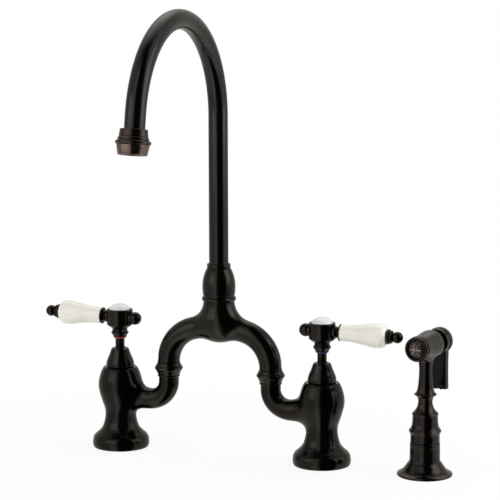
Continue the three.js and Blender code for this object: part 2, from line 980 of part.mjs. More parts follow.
function button() {
  const lowZ = hubTopZ - buttonSeat;
  return turned(
    [
      [0, lowZ],
      [buttonRadius, lowZ],
      [buttonRadius, hubTopZ],
      [buttonRadius * 0.88, hubTopZ + buttonRise * 0.45],
      [buttonRadius * 0.6, hubTopZ + buttonRise * 0.82],
      [0, hubTopZ + buttonRise],
    ],
    medium,
  );
}

// Lays a piece turned about its own axis along the lever, its first end nearest to the hub.
const onLever = (geometry) => geometry.rotateY(-Math.PI / 2).translate(0, 0, leverZ);
const onKnobSide = (geometry) => geometry.rotateY(Math.PI / 2).translate(0, 0, leverZ);

function leverCollar() {
  const rim = collarStart + collarLength;
  return onLever(
    turned(
      [
        [rodHole, collarStart],
        [bossRadius, collarStart],
        [collarNeckRadius, mix(collarStart, rim, 0.3)],
        [collarRadius, rim - collarBevel],
        [collarRadius - collarBevel, rim],
        [rodHole, rim],
      ],
      small,
    ),
  );
}

function porcelainLever() {
  const outer = smooth(
    [
      [porcelainInnerRadius, porcelainStart],
      [mix(porcelainInnerRadius, porcelainRadius, 0.08), mix(porcelainStart, porcelainEnd, 0.2)],
      [mix(porcelainInnerRadius, porcelainRadius, 0.55), mix(porcelainStart, porcelainEnd, 0.5)],
      [porcelainRadius, mix(porcelainStart, porcelainEnd, 0.8)],
      [mix(porcelainOuterRadius, porcelainRadius, 0.6), mix(porcelainStart, porcelainEnd, 0.94)],
      [porcelainOuterRadius, porcelainEnd],
    ],
    8,
  );
  return onLever(turned([[rodHole, porcelainStart], ...outer, [rodHole, porcelainEnd]], medium));
}

function finial() {
  const tip = finialStart + finialLength;
  const ballCentre = tip - finialBallRadius;
  const stepEnd = ballCentre - finialBallRadius * 0.8;
  const steps = 4;
  const ballArc = Array.from({ length: steps }, (_, i) => {
    const turn = mix(0, Math.PI / 2, i / steps);
    return [finialBallRadius * Math.cos(turn), ballCentre + finialBallRadius * Math.sin(turn)];
  });
  return onLever(
    cut(
      turned(
        [
          [0, finialStart],
          [finialRingRadius, finialStart],
          [finialRingRadius, mix(finialStart, stepEnd, 0.5)],
          [finialStepRadius, mix(finialStart, stepEnd, 0.6)],
          [finialStepRadius, mix(finialStart, stepEnd, 0.9)],
          [finialBallRadius * 0.72, stepEnd],
          ...ballArc,
          [0, tip],
        ],
        small,
      ),
      bar(rodHole, finialStart - gap, finialStart + finialGrip, tiny),
    ),
  );
}

function knob() {
  const start = bossEnd + gap;
  const centre = start + knobSeat;
  const firstTurn = -Math.asin(knobSeat / knobRadius);
  const steps = 6;
  const arc = Array.from({ length: steps }, (_, i) => {
    const turn = mix(firstTurn, Math.PI / 2, i / steps);
    return [knobRadius * Math.cos(turn), centre + knobRadius * Math.sin(turn)];
  });
  return onKnobSide(
    cut(
      turned([[0, start], ...arc, [0, centre + knobRadius]], small),
      bar(rodHole, start - gap, start + knobGrip, tiny),
    ),
  );
}

function tieRod() {
  const leverEnd = finialStart + finialGrip - gap;
  const knobEnd = bossEnd + knobGrip;
  return onLever(bar(tieRodRadius, -knobEnd, leverEnd, tiny));
}

// One side of the faucet: hot as drawn, cold turned half round.
function valveSide(parent, side, turn, ringFinish) {
  const group = new THREE.Group();
  group.position.x = (-valveSpacing / 2) * Math.cos(turn);
  group.rotation.z = turn;
  parent.add(group);
  piece(group, `${side}_body`, valveBody(), bronze);
  piece(group, `${side}_union_nut`, unionNut().translate(armRoute().end.point.x, 0, 0), bronze);
  piece(group, `${side}_union_washer`, unionWasher().translate(armRoute().end.point.x, 0, 0), rubber);
  piece(group, `${side}_bonnet`, bonnet(), bronze);
  piece(group, `${side}_cartridge`, cartridge(), brass);
  piece(group, `${side}_seat_seal`, seatSeal(), rubber);
  piece(group, `${side}_fixed_disc`, portedDisc(cartridgeBore - gap, fixedDiscZ, Math.PI / 2), ceramic);
  piece(group, `${side}_moving_disc`, portedDisc(cartridgeBore - 2 * gap, movingDiscZ, 0), ceramic);
  piece(group, `${side}_stem`, stem(), brass);
  piece(group, `${side}_stem_o_ring`, stemSeal(), rubber);
  piece(group, `${side}_colour_ring`, colourRing(), ringFinish);
  piece(group, `${side}_hub`, hub(), bronze);
  piece(group, `${side}_set_screw`, setScrew(), steel);
  piece(group, `${side}_button`, button(), porcelain);
  piece(group, `${side}_lever_collar`, leverCollar(), bronze);
  piece(group, `${side}_porcelain_lever`, porcelainLever(), porcelain);
  piece(group, `${side}_finial`, finial(), bronze);
  piece(group, `${side}_knob`, knob(), bronze);
  piece(group, `${side}_tie_rod`, tieRod(), brass);
}

// ---- Sprayer ----

const holderBore = holderRadius - holderWall;
const linerBore = holderBore - gap - linerWall;

function sprayHolder() {
  const lipZ = holderHeight - holderLipHeight;
  const slopeZ = holderFootEdge + holderBevel / 2;
  const slopeRadius = (share) => mix(holderRadius, holderFootRadius, share);
  const slopeHeight = (share) => slopeZ + holderSlope * share;
  return turned(
    [
      [linerBore, 0],
      [holderFootRadius - holderBevel, 0],
      [holderFootRadius, holderBevel],
      [holderFootRadius, holderFootEdge],
      ...smooth(
        [
          [slopeRadius(0.94), slopeHeight(0)],
          [slopeRadius(0.7), slopeHeight(0.1)],
          [slopeRadius(0.39), slopeHeight(0.4)],
          [slopeRadius(0.12), slopeHeight(0.7)],
          [slopeRadius(0), slopeHeight(1)],
        ],
        5,
      ),
      [holderRadius, lipZ],
      [holderRadius - lipBulge, lipZ + gap],
      ...roundEdge(holderRadius - lipBulge, lipZ + 2 * gap, holderHeight, lipBulge, 3),
      [holderBore, holderHeight],
      [holderBore, holderFloor],
      [linerBore, holderFloor],
    ],
    large,
  );
}

function holderLiner() {
  return ring(linerBore, holderBore - gap, holderFloor + gap, holderHeight - gap, small);
}

function hoseCoupling() {
  const lowZ = handleFootZ - gap - couplingLength;
  return turned(
    [
      [couplingBore, lowZ],
      [linerBore - turningGap - couplingBevel, lowZ],
      [linerBore - turningGap, lowZ + couplingBevel],
      [linerBore - turningGap, handleFootZ - gap],
      [couplingSpigotRadius, handleFootZ - gap],
      [couplingSpigotRadius, couplingTopZ],
      [couplingBore, couplingTopZ],
    ],
    small,
  );
}

// Heights up the handle, as shares of its length.
function sprayHandle() {
  const at = (share) => mix(handleFootZ, handleTopZ, share);
  const spigotWidth = headSocketRadius - gap;
  const spigotTop = headSocketTopZ - gap;
  const body = turned(
    [
      [0, handleFootZ],
      [skirtRadius, handleFootZ],
      [skirtRadius, at(0.07)],
      [mix(skirtRadius, ridgeRadius, 0.5), at(0.115)],
      [ridgeRadius, at(0.142)],
      [mix(gripRadius, ridgeRadius, 0.45), at(0.182)],
      ...smooth(
        [
          [mix(gripRadius, ridgeRadius, 0.24), at(0.215)],
          [gripRadius, at(0.27)],
          [gripRadius, at(0.325)],
        ],
        3,
      ),
      [ledgeRadius, at(0.35)],
      [ledgeRadius, at(0.365)],
      ...smooth(
        [
          [mix(coveRadius, ledgeRadius, 0.75), at(0.38)],
          [mix(coveRadius, ledgeRadius, 0.2), at(0.433)],
          [coveRadius, at(0.49)],
          [mix(coveRadius, collarRidgeRadius, 0.28), at(0.545)],
          [collarRidgeRadius, at(0.593)],
        ],
        6,
      ),
      ...smooth(
        [
          [mix(sprayNeckRadius, collarRidgeRadius, 0.9), at(0.605)],
          [mix(sprayNeckRadius, collarRidgeRadius, 0.4), at(0.65)],
          [mix(sprayNeckRadius, collarRidgeRadius, 0.14), at(0.74)],
          [sprayNeckRadius, at(0.88)],
          [mix(sprayNeckRadius, collarRidgeRadius, 0.12), at(1)],
        ],
        5,
      ),
      [spigotWidth, handleTopZ],
      [spigotWidth, spigotTop],
      [0, spigotTop],
    ],
    medium,
  );
  const waterway = turned(
    [
      [0, handleFootZ - gap],
      [couplingSpigotRadius + turningGap, handleFootZ - gap],
      [couplingSpigotRadius + turningGap, couplingTopZ + gap],
      [sprayWaterway, couplingTopZ + sprayWaterway],
      [sprayWaterway, spigotTop + gap],
      [0, spigotTop + gap],
    ],
    small,
  );
  return cut(body, waterway);
}

// Pieces of the head are turned about its own axis, the front at the high end, then laid level.
const onHead = (geometry) => toFront(geometry).translate(0, 0, headZ);

function sprayHead() {
  const barrel = onHead(
    turned(
      [
        [0, -rearEnd],
        [rearNeckRadius, -rearEnd],
        [rearNeckRadius, -headRear],
        [headRadius - headBevel, -headRear],
        ...smooth(
          [
            [headRadius - headBevel / 4, -headRear + headBevel * 0.7],
            [headRadius, -headRear + headBevel * 1.7],
            [mix(headFrontRadius, headRadius, 0.75), mix(-headRear, headFront, 0.5)],
            [headFrontRadius, headFront - headBeadLength - gap],
          ],
          5,
        ),
        ...roundEdge(
          headFrontRadius,
          headFront - headBeadLength,
          headFront,
          headBeadRadius - headFrontRadius,
          3,
        ),
        [0, headFront],
      ],
      medium,
    ),
  );
  const boss = bar(headBossRadius, handleTopZ + gap, headZ, medium);
  const ear = new THREE.Shape()
    .moveTo(headRear - gap, springPocketRadius + gap)
    .lineTo(pivotBack, springPocketRadius + gap)
    .absarc(pivotBack, pivotRise, earRadius, 0, Math.PI / 2)
    .lineTo(headRear - gap, pivotRise + earRadius);
  const lug = new THREE.ExtrudeGeometry(ear, { depth: earWidth, bevelEnabled: false, curveSegments: 4 })
    .translate(0, 0, -earWidth / 2)
    .rotateX(Math.PI / 2)
    .rotateZ(Math.PI / 2)
    .translate(0, 0, headZ);
  const socket = bar(headSocketRadius, handleTopZ, headSocketTopZ, small);
  const riser = bar(sprayWaterway, headSocketTopZ - gap, headZ, small);
  const frontChamber = onHead(bar(frontChamberRadius, seatFront, headFront + gap, small));
  const port = onHead(bar(valvePortRadius, seatRear - gap, seatFront + gap, small));
  const middleChamber = onHead(bar(middleChamberRadius, seatRear - middleChamberLength, seatRear, small));
  const gland = onHead(bar(plungerRadius + gap, -pocketFloor - gap, seatRear - gap, small));
  const pocket = onHead(bar(springPocketRadius, -rearEnd - earRadius * 2, -pocketFloor, small));
  const pinHole = alongX(bar(pinRadius + gap, -capRadius, capRadius, small)).translate(
    0,
    pivotBack,
    headZ + pivotRise,
  );
  const waterPath = [socket, riser, frontChamber, port, middleChamber];
  return cut(join(barrel, boss, lug), ...waterPath, gland, pocket, pinHole);
}

function sprayFace() {
  const front = headFront + faceRingLength - faceLip - gap;
  const plate = turned(
    [
      [0, front - faceThickness],
      [faceRadius, front - faceThickness],
      [faceRadius, front],
      [0, front],
    ],
    medium,
  );
  const holes = Array.from({ length: faceHoles }, (_, i) => {
    const turn = (2 * Math.PI * i) / faceHoles;
    return bar(faceHoleRadius, front - faceThickness - gap, front + gap, 6).translate(
      faceRadius * faceHoleShare * Math.cos(turn),
      faceRadius * faceHoleShare * Math.sin(turn),
      0,
    );
  });
  return onHead(cut(plate, ...holes));
}

function faceRing() {
  const low = headFront + gap;
  const high = headFront + faceRingLength;
  const lipRadius = faceRadius - faceLip / 3;
  return onHead(
    turned(
      [
        [faceRadius + gap, low],
        [faceRingRadius - faceBevel, low],
        [faceRingRadius, low + faceBevel],
        [faceRingRadius, high - faceBevel],
        [faceRingRadius - faceBevel, high],
        [lipRadius, high],
        [lipRadius, high - faceLip],
        [faceRadius + gap, high - faceLip],
      ],
      medium,
    ),
  );
}

function trigger() {
  const cap = onHead(
    turned(
      [
        [0, -capRear],
        [capRadius - capBevel, -capRear],
        [capRadius, -capRear + capBevel],
        [capRadius, -capFront - capLength * 0.55],
        [capRadius - capStep, -capFront - capLength * 0.5],
        [capRadius - capStep, -capFront],
        [0, -capFront],
      ],
      medium,
    ),
  );
  const hollow = onHead(bar(capInner, -capFace, -capFront + gap, medium));
  const half = paddleWidth / 2;
  const section = new THREE.Shape()
    .moveTo(-half, -paddleBow)
    .quadraticCurveTo(0, paddleBow, half, -paddleBow)
    .lineTo(half, -paddleBow - paddleThickness)
    .quadraticCurveTo(0, paddleBow - paddleThickness, -half, -paddleBow - paddleThickness)
    .lineTo(-half, -paddleBow);
  const top = capInner * 0.8;
  const paddle = new THREE.ExtrudeGeometry(section, {
    depth: paddleDrop - top,
    bevelEnabled: false,
    curveSegments: 5,
  }).translate(0, capRear, headZ - paddleDrop);
  const pinHole = alongX(bar(pinRadius + gap / 2, -capRadius, capRadius, small)).translate(
    0,
    pivotBack,
    headZ + pivotRise,
  );
  return cut(join(cap, paddle), hollow, pinHole);
}

function triggerPin() {
  const half = Math.sqrt(capRadius ** 2 - (pivotRise + pinRadius) ** 2) - gap;
  return alongX(bar(pinRadius, -half, half, tiny)).translate(0, pivotBack, headZ + pivotRise);
}

const plungerTip = capFace - gap;
const plungerCollarBack = rearEnd - gap;

function valvePlunger() {
  const headBack = seatFront + gap;
  return onHead(
    turned(
      [
        [0, -plungerTip],
        [plungerRadius * 0.7, -plungerTip + plungerRadius * 0.3],
        [plungerRadius, -plungerTip + plungerRadius],
        [plungerRadius, -plungerCollarBack],
        [plungerCollarRadius, -plungerCollarBack],
        [plungerCollarRadius, -plungerCollarBack + plungerCollarLength],
        [plungerRadius, -plungerCollarBack + plungerCollarLength],
        [plungerRadius, headBack],
        [plungerHeadRadius, headBack],
        [plungerHeadRadius, headBack + plungerHeadLength],
        [0, headBack + plungerHeadLength],
      ],
      small,
    ),
  );
}

// The spring's wire, wound about the head's axis between the pocket's floor and the plunger's collar.
function valveSpring() {
  const low = -(plungerCollarBack - plungerCollarLength) + gap + springWire;
  const high = -pocketFloor - gap - springWire;
  const stepsPerTurn = 8;
  const steps = springTurns * stepsPerTurn;
  const wire = new Route(new THREE.Vector3(springRadius, 0, low), new THREE.Vector3(0, 1, 0));
  wire.stations = Array.from({ length: steps + 1 }, (_, i) => {
    const turn = (2 * Math.PI * i) / stepsPerTurn;
    const point = new THREE.Vector3(
      springRadius * Math.cos(turn),
      springRadius * Math.sin(turn),
      mix(low, high, i / steps),
    );
    const rise = (high - low) / (2 * Math.PI * springTurns);
    const tangent = new THREE.Vector3(-point.y, point.x, rise).normalize();
    return { point, tangent };
  });
  return onHead(tube(wire, springWire, 5));
}

function sprayer(parent) {
  const stand = new THREE.Group();
  stand.position.set(valveSpacing / 2 + sprayerOffset, -sprayerForward, 0);
  parent.add(stand);
  piece(stand, "spray_holder", sprayHolder(), bronze);
  piece(stand, "spray_holder_liner", holderLiner(), nylon);
  const hand = new THREE.Group();
  hand.rotation.z = sprayerYaw;
  stand.add(hand);
  piece(hand, "hose_coupling", hoseCoupling(), brass);
  piece(hand, "spray_handle", sprayHandle(), bronze);
  piece(hand, "spray_head", sprayHead(), bronze);
  piece(hand, "spray_face", sprayFace(), darkNylon);
  piece(hand, "spray_face_ring", faceRing(), bronze);
  piece(hand, "trigger", trigger(), bronze);
  piece(hand, "trigger_pin", triggerPin(), steel);
  piece(hand, "valve_plunger", valvePlunger(), brass);
  piece(hand, "valve_spring", valveSpring(), steel);
}

// ---- The whole faucet ----

const row = new THREE.Group();
valveSide(row, "hot", 0, redRing);
valveSide(row, "cold", Math.PI, blueRing);
piece(row, "bridge", bridge(), bronze);
piece(row, "spout_nut", spoutNut(), bronze);
piece(row, "spout_bearing_ring", bearingRing(), nylon);
piece(row, "spout_tube", spoutTube(), bronze);
piece(row, "spout_lower_o_ring", spoutSeal(spoutSealZ[0]), rubber);
piece(row, "spout_upper_o_ring", spoutSeal(spoutSealZ[1]), rubber);
const outlet = outletGroup(row);
piece(outlet, "outlet_bell", outletBell(), bronze);
piece(outlet, "aerator_washer", aeratorWasher(), rubber);
piece(outlet, "aerator_housing", aeratorHousing(), steel);
piece(outlet, "aerator_screen", aeratorScreen(), darkNylon);
sprayer(row);

// The origin is on the deck, under the middle of the whole set's outline.
const faucet = new THREE.Group();
faucet.add(row);
row.updateMatrixWorld(true);
const bounds = new THREE.Box3().setFromObject(row, true);
const middle = bounds.getCenter(new THREE.Vector3());
row.position.set(-middle.x, -middle.y, -bounds.min.z);

export default faucet;
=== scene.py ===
# Two handle bridge kitchen faucet with a gooseneck spout and a side sprayer.
# Lengths in the dictionaries are millimetres, +Z up, with the user at -Y.
import json
import math

import bmesh
import bpy
import numpy as np
from mathutils import Matrix, Vector

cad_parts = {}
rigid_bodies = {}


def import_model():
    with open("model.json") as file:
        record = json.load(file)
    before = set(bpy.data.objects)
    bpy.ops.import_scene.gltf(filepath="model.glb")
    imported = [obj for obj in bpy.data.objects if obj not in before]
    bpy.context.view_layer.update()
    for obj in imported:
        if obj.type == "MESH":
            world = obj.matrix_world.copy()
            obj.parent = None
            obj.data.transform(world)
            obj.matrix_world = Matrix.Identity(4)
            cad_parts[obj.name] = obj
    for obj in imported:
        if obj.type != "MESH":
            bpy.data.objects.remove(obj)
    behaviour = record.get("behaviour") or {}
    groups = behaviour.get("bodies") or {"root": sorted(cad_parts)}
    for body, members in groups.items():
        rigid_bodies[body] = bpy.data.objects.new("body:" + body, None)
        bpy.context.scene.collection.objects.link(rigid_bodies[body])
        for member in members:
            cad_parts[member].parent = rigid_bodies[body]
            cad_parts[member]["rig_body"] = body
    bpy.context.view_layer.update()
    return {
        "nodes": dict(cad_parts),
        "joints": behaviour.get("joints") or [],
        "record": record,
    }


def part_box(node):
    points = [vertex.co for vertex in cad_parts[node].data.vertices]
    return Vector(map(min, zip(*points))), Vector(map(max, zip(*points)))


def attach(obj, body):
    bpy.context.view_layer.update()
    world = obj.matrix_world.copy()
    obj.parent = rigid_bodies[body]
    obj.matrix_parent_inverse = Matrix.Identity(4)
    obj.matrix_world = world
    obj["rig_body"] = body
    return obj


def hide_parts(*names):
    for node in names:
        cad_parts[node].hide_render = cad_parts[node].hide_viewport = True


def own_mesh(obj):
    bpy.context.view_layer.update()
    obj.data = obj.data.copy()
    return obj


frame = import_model()
print("frame loaded,", len(frame["nodes"]), "nodes")

perMetre = 1000
quarter = math.pi / 2
slotOf = {part["node"]: part["material_slot"] for part in frame["record"]["subparts"]}
bodyOf = {name: thing["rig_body"] for name, thing in frame["nodes"].items()}


def shift(x=0, y=0, z=0):
    return Matrix.Translation((x, y, z))


def spin(angle, axis):
    return Matrix.Rotation(angle, 4, axis)


# Where things stand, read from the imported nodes.
def standAt(node, turn=0):
    low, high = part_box(node)
    middle = (low + high) / 2 * perMetre
    return shift(middle.x, middle.y) @ spin(turn, "Z")


def jointAxis(name):
    joint = next(j for j in frame["joints"] if j["name"] == name)
    return Vector(joint["axis"])


triggerAxis = jointAxis("trigger_pull")
handYaw = math.atan(triggerAxis.y / triggerAxis.x)
headHeight = 118.6
sides = {"hot": standAt("hot_bonnet"), "cold": standAt("cold_bonnet", math.pi)}
middleStand = standAt("spout_nut")
holderStand = standAt("spray_holder")
handStand = standAt("spray_holder", handYaw)
headStand = handStand @ shift(z=headHeight) @ spin(quarter, "X")


# Nodes: a signal carries a socket through sums, for materials and geometry alike.
class Signal:
    def __init__(self, board, socket):
        self.board = board
        self.socket = socket

    def math(self, operation, *others):
        return self.board.math(operation, self, *others)

    def __add__(self, other):
        return self.math("ADD", other)

    def __sub__(self, other):
        return self.math("SUBTRACT", other)

    def __rsub__(self, other):
        return self.board.math("SUBTRACT", other, self)

    def __mul__(self, other):
        return self.math("MULTIPLY", other)

    def __truediv__(self, other):
        return self.math("DIVIDE", other)

    def __rtruediv__(self, other):
        return self.board.math("DIVIDE", other, self)

    __radd__ = __add__
    __rmul__ = __mul__

    def clamp(self, low=0, high=1):
        return self.math("MAXIMUM", low).math("MINIMUM", high)


class Board:
    def __init__(self, tree):
        self.tree = tree

    def node(self, kind, settings=None, inputs=None, output=0):
        made = self.tree.nodes.new(kind)
        for key, value in (settings or {}).items():
            setattr(made, key, value)
        for key, value in (inputs or {}).items():
            if isinstance(value, Signal):
                self.tree.links.new(value.socket, made.inputs[key])
            else:
                made.inputs[key].default_value = value
        return Signal(self, made.outputs[output]) if made.outputs else None

    def math(self, operation, *values):
        return self.node("ShaderNodeMath", {"operation": operation}, dict(enumerate(values)))

    # The length of a vector, or how far two point the same way.
    def measure(self, operation, *vectors):
        return self.node("ShaderNodeVectorMath", {"operation": operation}, dict(enumerate(vectors)), 1)

    def vector(self, x=0, y=0, z=0):
        return self.node("ShaderNodeCombineXYZ", None, {0: x, 1: y, 2: z})

    def blend(self, share, first, second):
        return self.node("ShaderNodeMix", {"data_type": "RGBA"}, {0: share, 6: first, 7: second}, 2)

    def smoothStep(self, value, low, high):
        inputs = {0: value, 1: low, 2: high}
        return self.node("ShaderNodeMapRange", {"interpolation_type": "SMOOTHSTEP"}, inputs)

    def position(self):
        return self.node("ShaderNodeTexCoord", output=3)

    def noise(self, scale, detail=3, roughness=0.5, vector=None):
        inputs = {"Scale": scale, "Detail": detail, "Roughness": roughness}
        inputs["Vector"] = vector or self.position()
        return self.node("ShaderNodeTexNoise", None, inputs)

    def attribute(self, name):
        return self.node("ShaderNodeAttribute", {"attribute_name": name}, output=2)

    def bump(self, height, strength, distance):
        inputs = {"Height": height, "Strength": strength, "Distance": distance}
        return self.node("ShaderNodeBump", None, inputs)


# A material: constants are set on its shader, and what varies is fed to it at the end.
class Finish(Board):
    def __init__(self, name, fixed):
        self.material = bpy.data.materials.new(name)
        self.material.use_nodes = True
        super().__init__(self.material.node_tree)
        self.shader = self.tree.nodes["Principled BSDF"]
        for key, value in fixed.items():
            self.shader.inputs[key].default_value = value

    def feed(self, **signals):
        for key, signal in signals.items():
            self.tree.links.new(signal.socket, self.shader.inputs[key.replace("_", " ")])
        return self.material


def colour(code):
    channels = [int(code[i : i + 2], 16) / 255 for i in (0, 2, 4)]
    return (*[c / 12.92 if c <= 0.04045 else ((c + 0.055) / 1.055) ** 2.4 for c in channels], 1)


bronzeLook = {
    # Lighter ridge shade: real wear, and on the paddle a painted highlight.
    "worn": "5f554a",
    "groove": "12110f",
    "wornShare": 0.28,
    "grooveShare": 0.8,
    "patchShare": 0.6,
    "roughness": 0.19,
    "cloudSpread": 0.1,
    "speckleSpread": 0.06,
    "grooveDull": 0.15,
    "ridgeShine": 0.05,
    "roughnessRange": (0.12, 0.9),
    "edgeTint": (0.94, 0.93, 0.9, 1),
    "cloudScale": 38,
    "patchScale": 17.1,
    "grainScale": 900,
    "grainDepth": 0.00001,
    "grainStrength": 0.35,
    "latheScale": 2.1,
    "rubbedSpeckle": 0.3,
    # Where clouds, patches and rubbed places begin and are whole.
    "cloudEdge": (0.42, 0.62),
    "patchEdge": (0.5, 0.68),
    "rubbedEdge": (0.45, 0.75),
    # Main shade, clouds and patches of each bronze.
    "casting": ("30312d", "2c2d29", "372f2a"),
    # The posts' shade is a darker copy of the casting's: painted shade, as they stand low and get less light.
    "posts": ("2a2b27", "272824", "302a26"),
    "spout": ("363634", "333331", "393534"),
    "bell": ("3d3733", "3a3431", "423933"),
    "handles": ("302d2a", "2d2b28", "362e29"),
    "sprayer": ("373230", "322f2c", "3d332d"),
    "barrel": ("4a4643", "454240", "4d4641"),
    "cap": ("474843", "42433e", "4b4742"),
    "paddle": ("26292c", "222528", "2d2a28"),
    "star": ("a08880", "8d7770", "a58e84"),
}


# Oiled bronze: dark oxide with faint clouds and patches, rubbed lighter on its ridges; on the paddle that
# lighter ridge shade is a painted highlight. A painted reflection, pale past a length along a turned outline,
# is given as (from, to, shade).
def bronzeFinish(name, shades, turning=0.0, look=bronzeLook, pale=None):
    board = Finish(name, {"Metallic": 1.0, "Specular Tint": look["edgeTint"], "IOR": 1.45})
    main, clouds, patches = [colour(code) for code in look[shades]]
    cloud = board.noise(look["cloudScale"], 4, 0.55)
    patch = board.noise(look["patchScale"])
    speckle = board.noise(look["grainScale"], 2, 0.6)
    ridge = board.attribute("ridge")
    groove = board.attribute("groove")
    shade = board.blend(board.smoothStep(cloud, *look["cloudEdge"]), main, clouds)
    shade = board.blend(board.smoothStep(patch, *look["patchEdge"]) * look["patchShare"], shade, patches)
    # Painted reflection: a paler shade past a length along the turned outline.
    if pale:
        low, high, paintedReflectionShade = pale
        shade = board.blend(board.smoothStep(board.attribute("turned"), low, high), shade, colour(paintedReflectionShade))
    handled = board.smoothStep(cloud + speckle * look["rubbedSpeckle"], *look["rubbedEdge"])
    shade = board.blend((ridge * handled * look["wornShare"]).clamp(), shade, colour(look["worn"]))
    shade = board.blend((groove * look["grooveShare"]).clamp(), shade, colour(look["groove"]))
    roughness = look["roughness"] + (cloud - 0.5) * look["cloudSpread"]
    roughness = roughness + (speckle - 0.5) * look["speckleSpread"]
    roughness = roughness + groove * look["grooveDull"] - ridge * look["ridgeShine"]
    height = speckle * 0.5 + cloud
    if turning:
        alongLines = board.vector(board.attribute("turned") * look["latheScale"])
        height = height + board.noise(1.0, 3, 0.7, alongLines) * turning
    bump = board.bump(height, look["grainStrength"], look["grainDepth"])
    roughness = roughness.clamp(*look["roughnessRange"])
    return board.feed(Base_Color=shade, Roughness=roughness, Normal=bump)


porcelainLook = {"shade": "ebe8e0", "warm": "e5e0d3", "speck": "c4b79d", "roughness": 0.18}
buttonLook = {"shade": "dde1e0", "warm": "d3d9d9", "speck": "b9bbb4", "roughness": 0.14}
glaze = {
    "cloudScale": 55,
    "cloudEdge": (0.38, 0.7),
    "speckScale": 1500,
    "speckEdge": (0.76, 0.8),
    "speckShare": 0.25,
    "dullScale": 140,
    "dullSpread": 0.05,
    "waveScale": 90,
    "waveStrength": 0.1,
    "waveDepth": 0.0001,
    "coatScale": 70,
    "coatLeast": 0.1,
    "coatSpread": 0.1,
    "coatRoughness": 0.08,
}


# Glazed porcelain: faint cream clouds, a few pin specks and a slightly wavy glaze.
def porcelainFinish(name, look=porcelainLook, coat=glaze):
    board = Finish(name, {"Metallic": 0.0, "IOR": 1.5, "Coat Roughness": coat["coatRoughness"]})
    clouds = board.smoothStep(board.noise(coat["cloudScale"]), *coat["cloudEdge"])
    shade = board.blend(clouds, colour(look["shade"]), colour(look["warm"]))
    specks = board.smoothStep(board.noise(coat["speckScale"], 1), *coat["speckEdge"]) * coat["speckShare"]
    shade = board.blend(specks, shade, colour(look["speck"]))
    roughness = look["roughness"] + board.noise(coat["dullScale"], 2) * coat["dullSpread"]
    waves = board.noise(coat["waveScale"], 2, 0.4)
    bump = board.bump(waves, coat["waveStrength"], coat["waveDepth"])
    weight = coat["coatLeast"] + board.noise(coat["coatScale"], 1) * coat["coatSpread"]
    return board.feed(Base_Color=shade, Roughness=roughness, Normal=bump, Coat_Weight=weight)


brushing = {
    "stretch": (1, 1, 9),
    "lineScale": 420,
    "lineSpread": 0.25,
    "stainScale": 120,
    "stainEdge": (0.4, 0.7),
    "strength": 0.3,
    "depth": 0.00003,
}


# A worn machined metal, brushed round its length.
def metalFinish(name, shade, dull, roughness, look=brushing):
    board = Finish(name, {"Metallic": 1.0, "IOR": 1.45})
    inputs = {"Vector": board.position(), "Scale": look["stretch"]}
    stretched = board.node("ShaderNodeMapping", None, inputs)
    lines = board.noise(look["lineScale"], 4, 0.65, stretched)
    stain = board.smoothStep(board.noise(look["stainScale"]), *look["stainEdge"])
    tone = board.blend(stain, colour(shade), colour(dull))
    bump = board.bump(lines, look["strength"], look["depth"])
    roughness = roughness + (lines - 0.5) * look["lineSpread"]
    return board.feed(Base_Color=tone, Roughness=roughness, Normal=bump)


moulding = {"cloudScale": 90, "cloudEdge": (0.35, 0.7), "strength": 0.4, "spread": 0.2}


# Moulded plastic, rubber and unglazed ceramic: a fine pebbled skin.
def mouldedFinish(name, shade, second, roughness, pebble, depth, look=moulding):
    board = Finish(name, {"Metallic": 0.0, "IOR": 1.48})
    pebbles = board.noise(pebble, 3, 0.6)
    cloud = board.smoothStep(board.noise(look["cloudScale"], 2), *look["cloudEdge"])
    tone = board.blend(cloud, colour(shade), colour(second))
    bump = board.bump(pebbles, look["strength"], depth)
    roughness = roughness + (pebbles - 0.5) * look["spread"]
    return board.feed(Base_Color=tone, Roughness=roughness, Normal=bump)


castBronze = bronzeFinish("cast_bronze", "casting")
# Painted shade: the posts get a darker copy of the cast bronze.
shadedPostBronze = bronzeFinish("shaded_post_bronze", "posts")
turnedBronze = bronzeFinish("turned_bronze", "casting", turning=0.8)
spoutBronze = bronzeFinish("spout_bronze", "spout", turning=0.4)
# The bell's cup is painted paler past 17.8 mm along its outline: a painted reflection of the bright
# surroundings below it.
bellBronze = bronzeFinish("bell_bronze", "bell", turning=0.8, pale=(17.8, 19.2, "6d5e57"))
handleBronze = bronzeFinish("handle_bronze", "handles", turning=0.6)
sprayBronze = bronzeFinish("sprayer_bronze", "sprayer", turning=0.8)
barrelBronze = bronzeFinish("barrel_bronze", "barrel", turning=0.4)
capBronze = bronzeFinish("cap_bronze", "cap", turning=0.8)
# Painted highlight: the paddle's ridge share is raised so that its flange edges look lit by the lamps.
paddleBronze = bronzeFinish("paddle_bronze", "paddle", look={**bronzeLook, "wornShare": 0.9})
starBronze = bronzeFinish("star_bronze", "star")
porcelain = porcelainFinish("glazed_porcelain")
buttonPorcelain = porcelainFinish("button_porcelain", buttonLook)
brass = metalFinish("bare_brass", "a98a4e", "8a6b39", 0.34)
steel = metalFinish("stainless_steel", "9a9a98", "7d7c79", 0.3)
blackenedSteel = metalFinish("blackened_steel", "34312e", "272523", 0.4)
ceramic = mouldedFinish("disc_ceramic", "e4e0d8", "d6d0c4", 0.3, 2200, 0.00001)
rubber = mouldedFinish("black_rubber", "161616", "1d1c1b", 0.75, 1600, 0.00003)
nylon = mouldedFinish("white_nylon", "d8d6cf", "cbc8bf", 0.48, 1300, 0.00002)
darkNylon = mouldedFinish("dark_nylon", "100f0e", "0c0b0a", 0.34, 1300, 0.00002)
redRing = mouldedFinish("hot_ring", "b3261e", "9c2c1b", 0.35, 1500, 0.00002)
blueRing = mouldedFinish("cold_ring", "1f2f66", "18264f", 0.35, 1500, 0.00002)
print("finishes ready")


# How much of a straight a rounded corner may use up.
cornerShare = 0.48


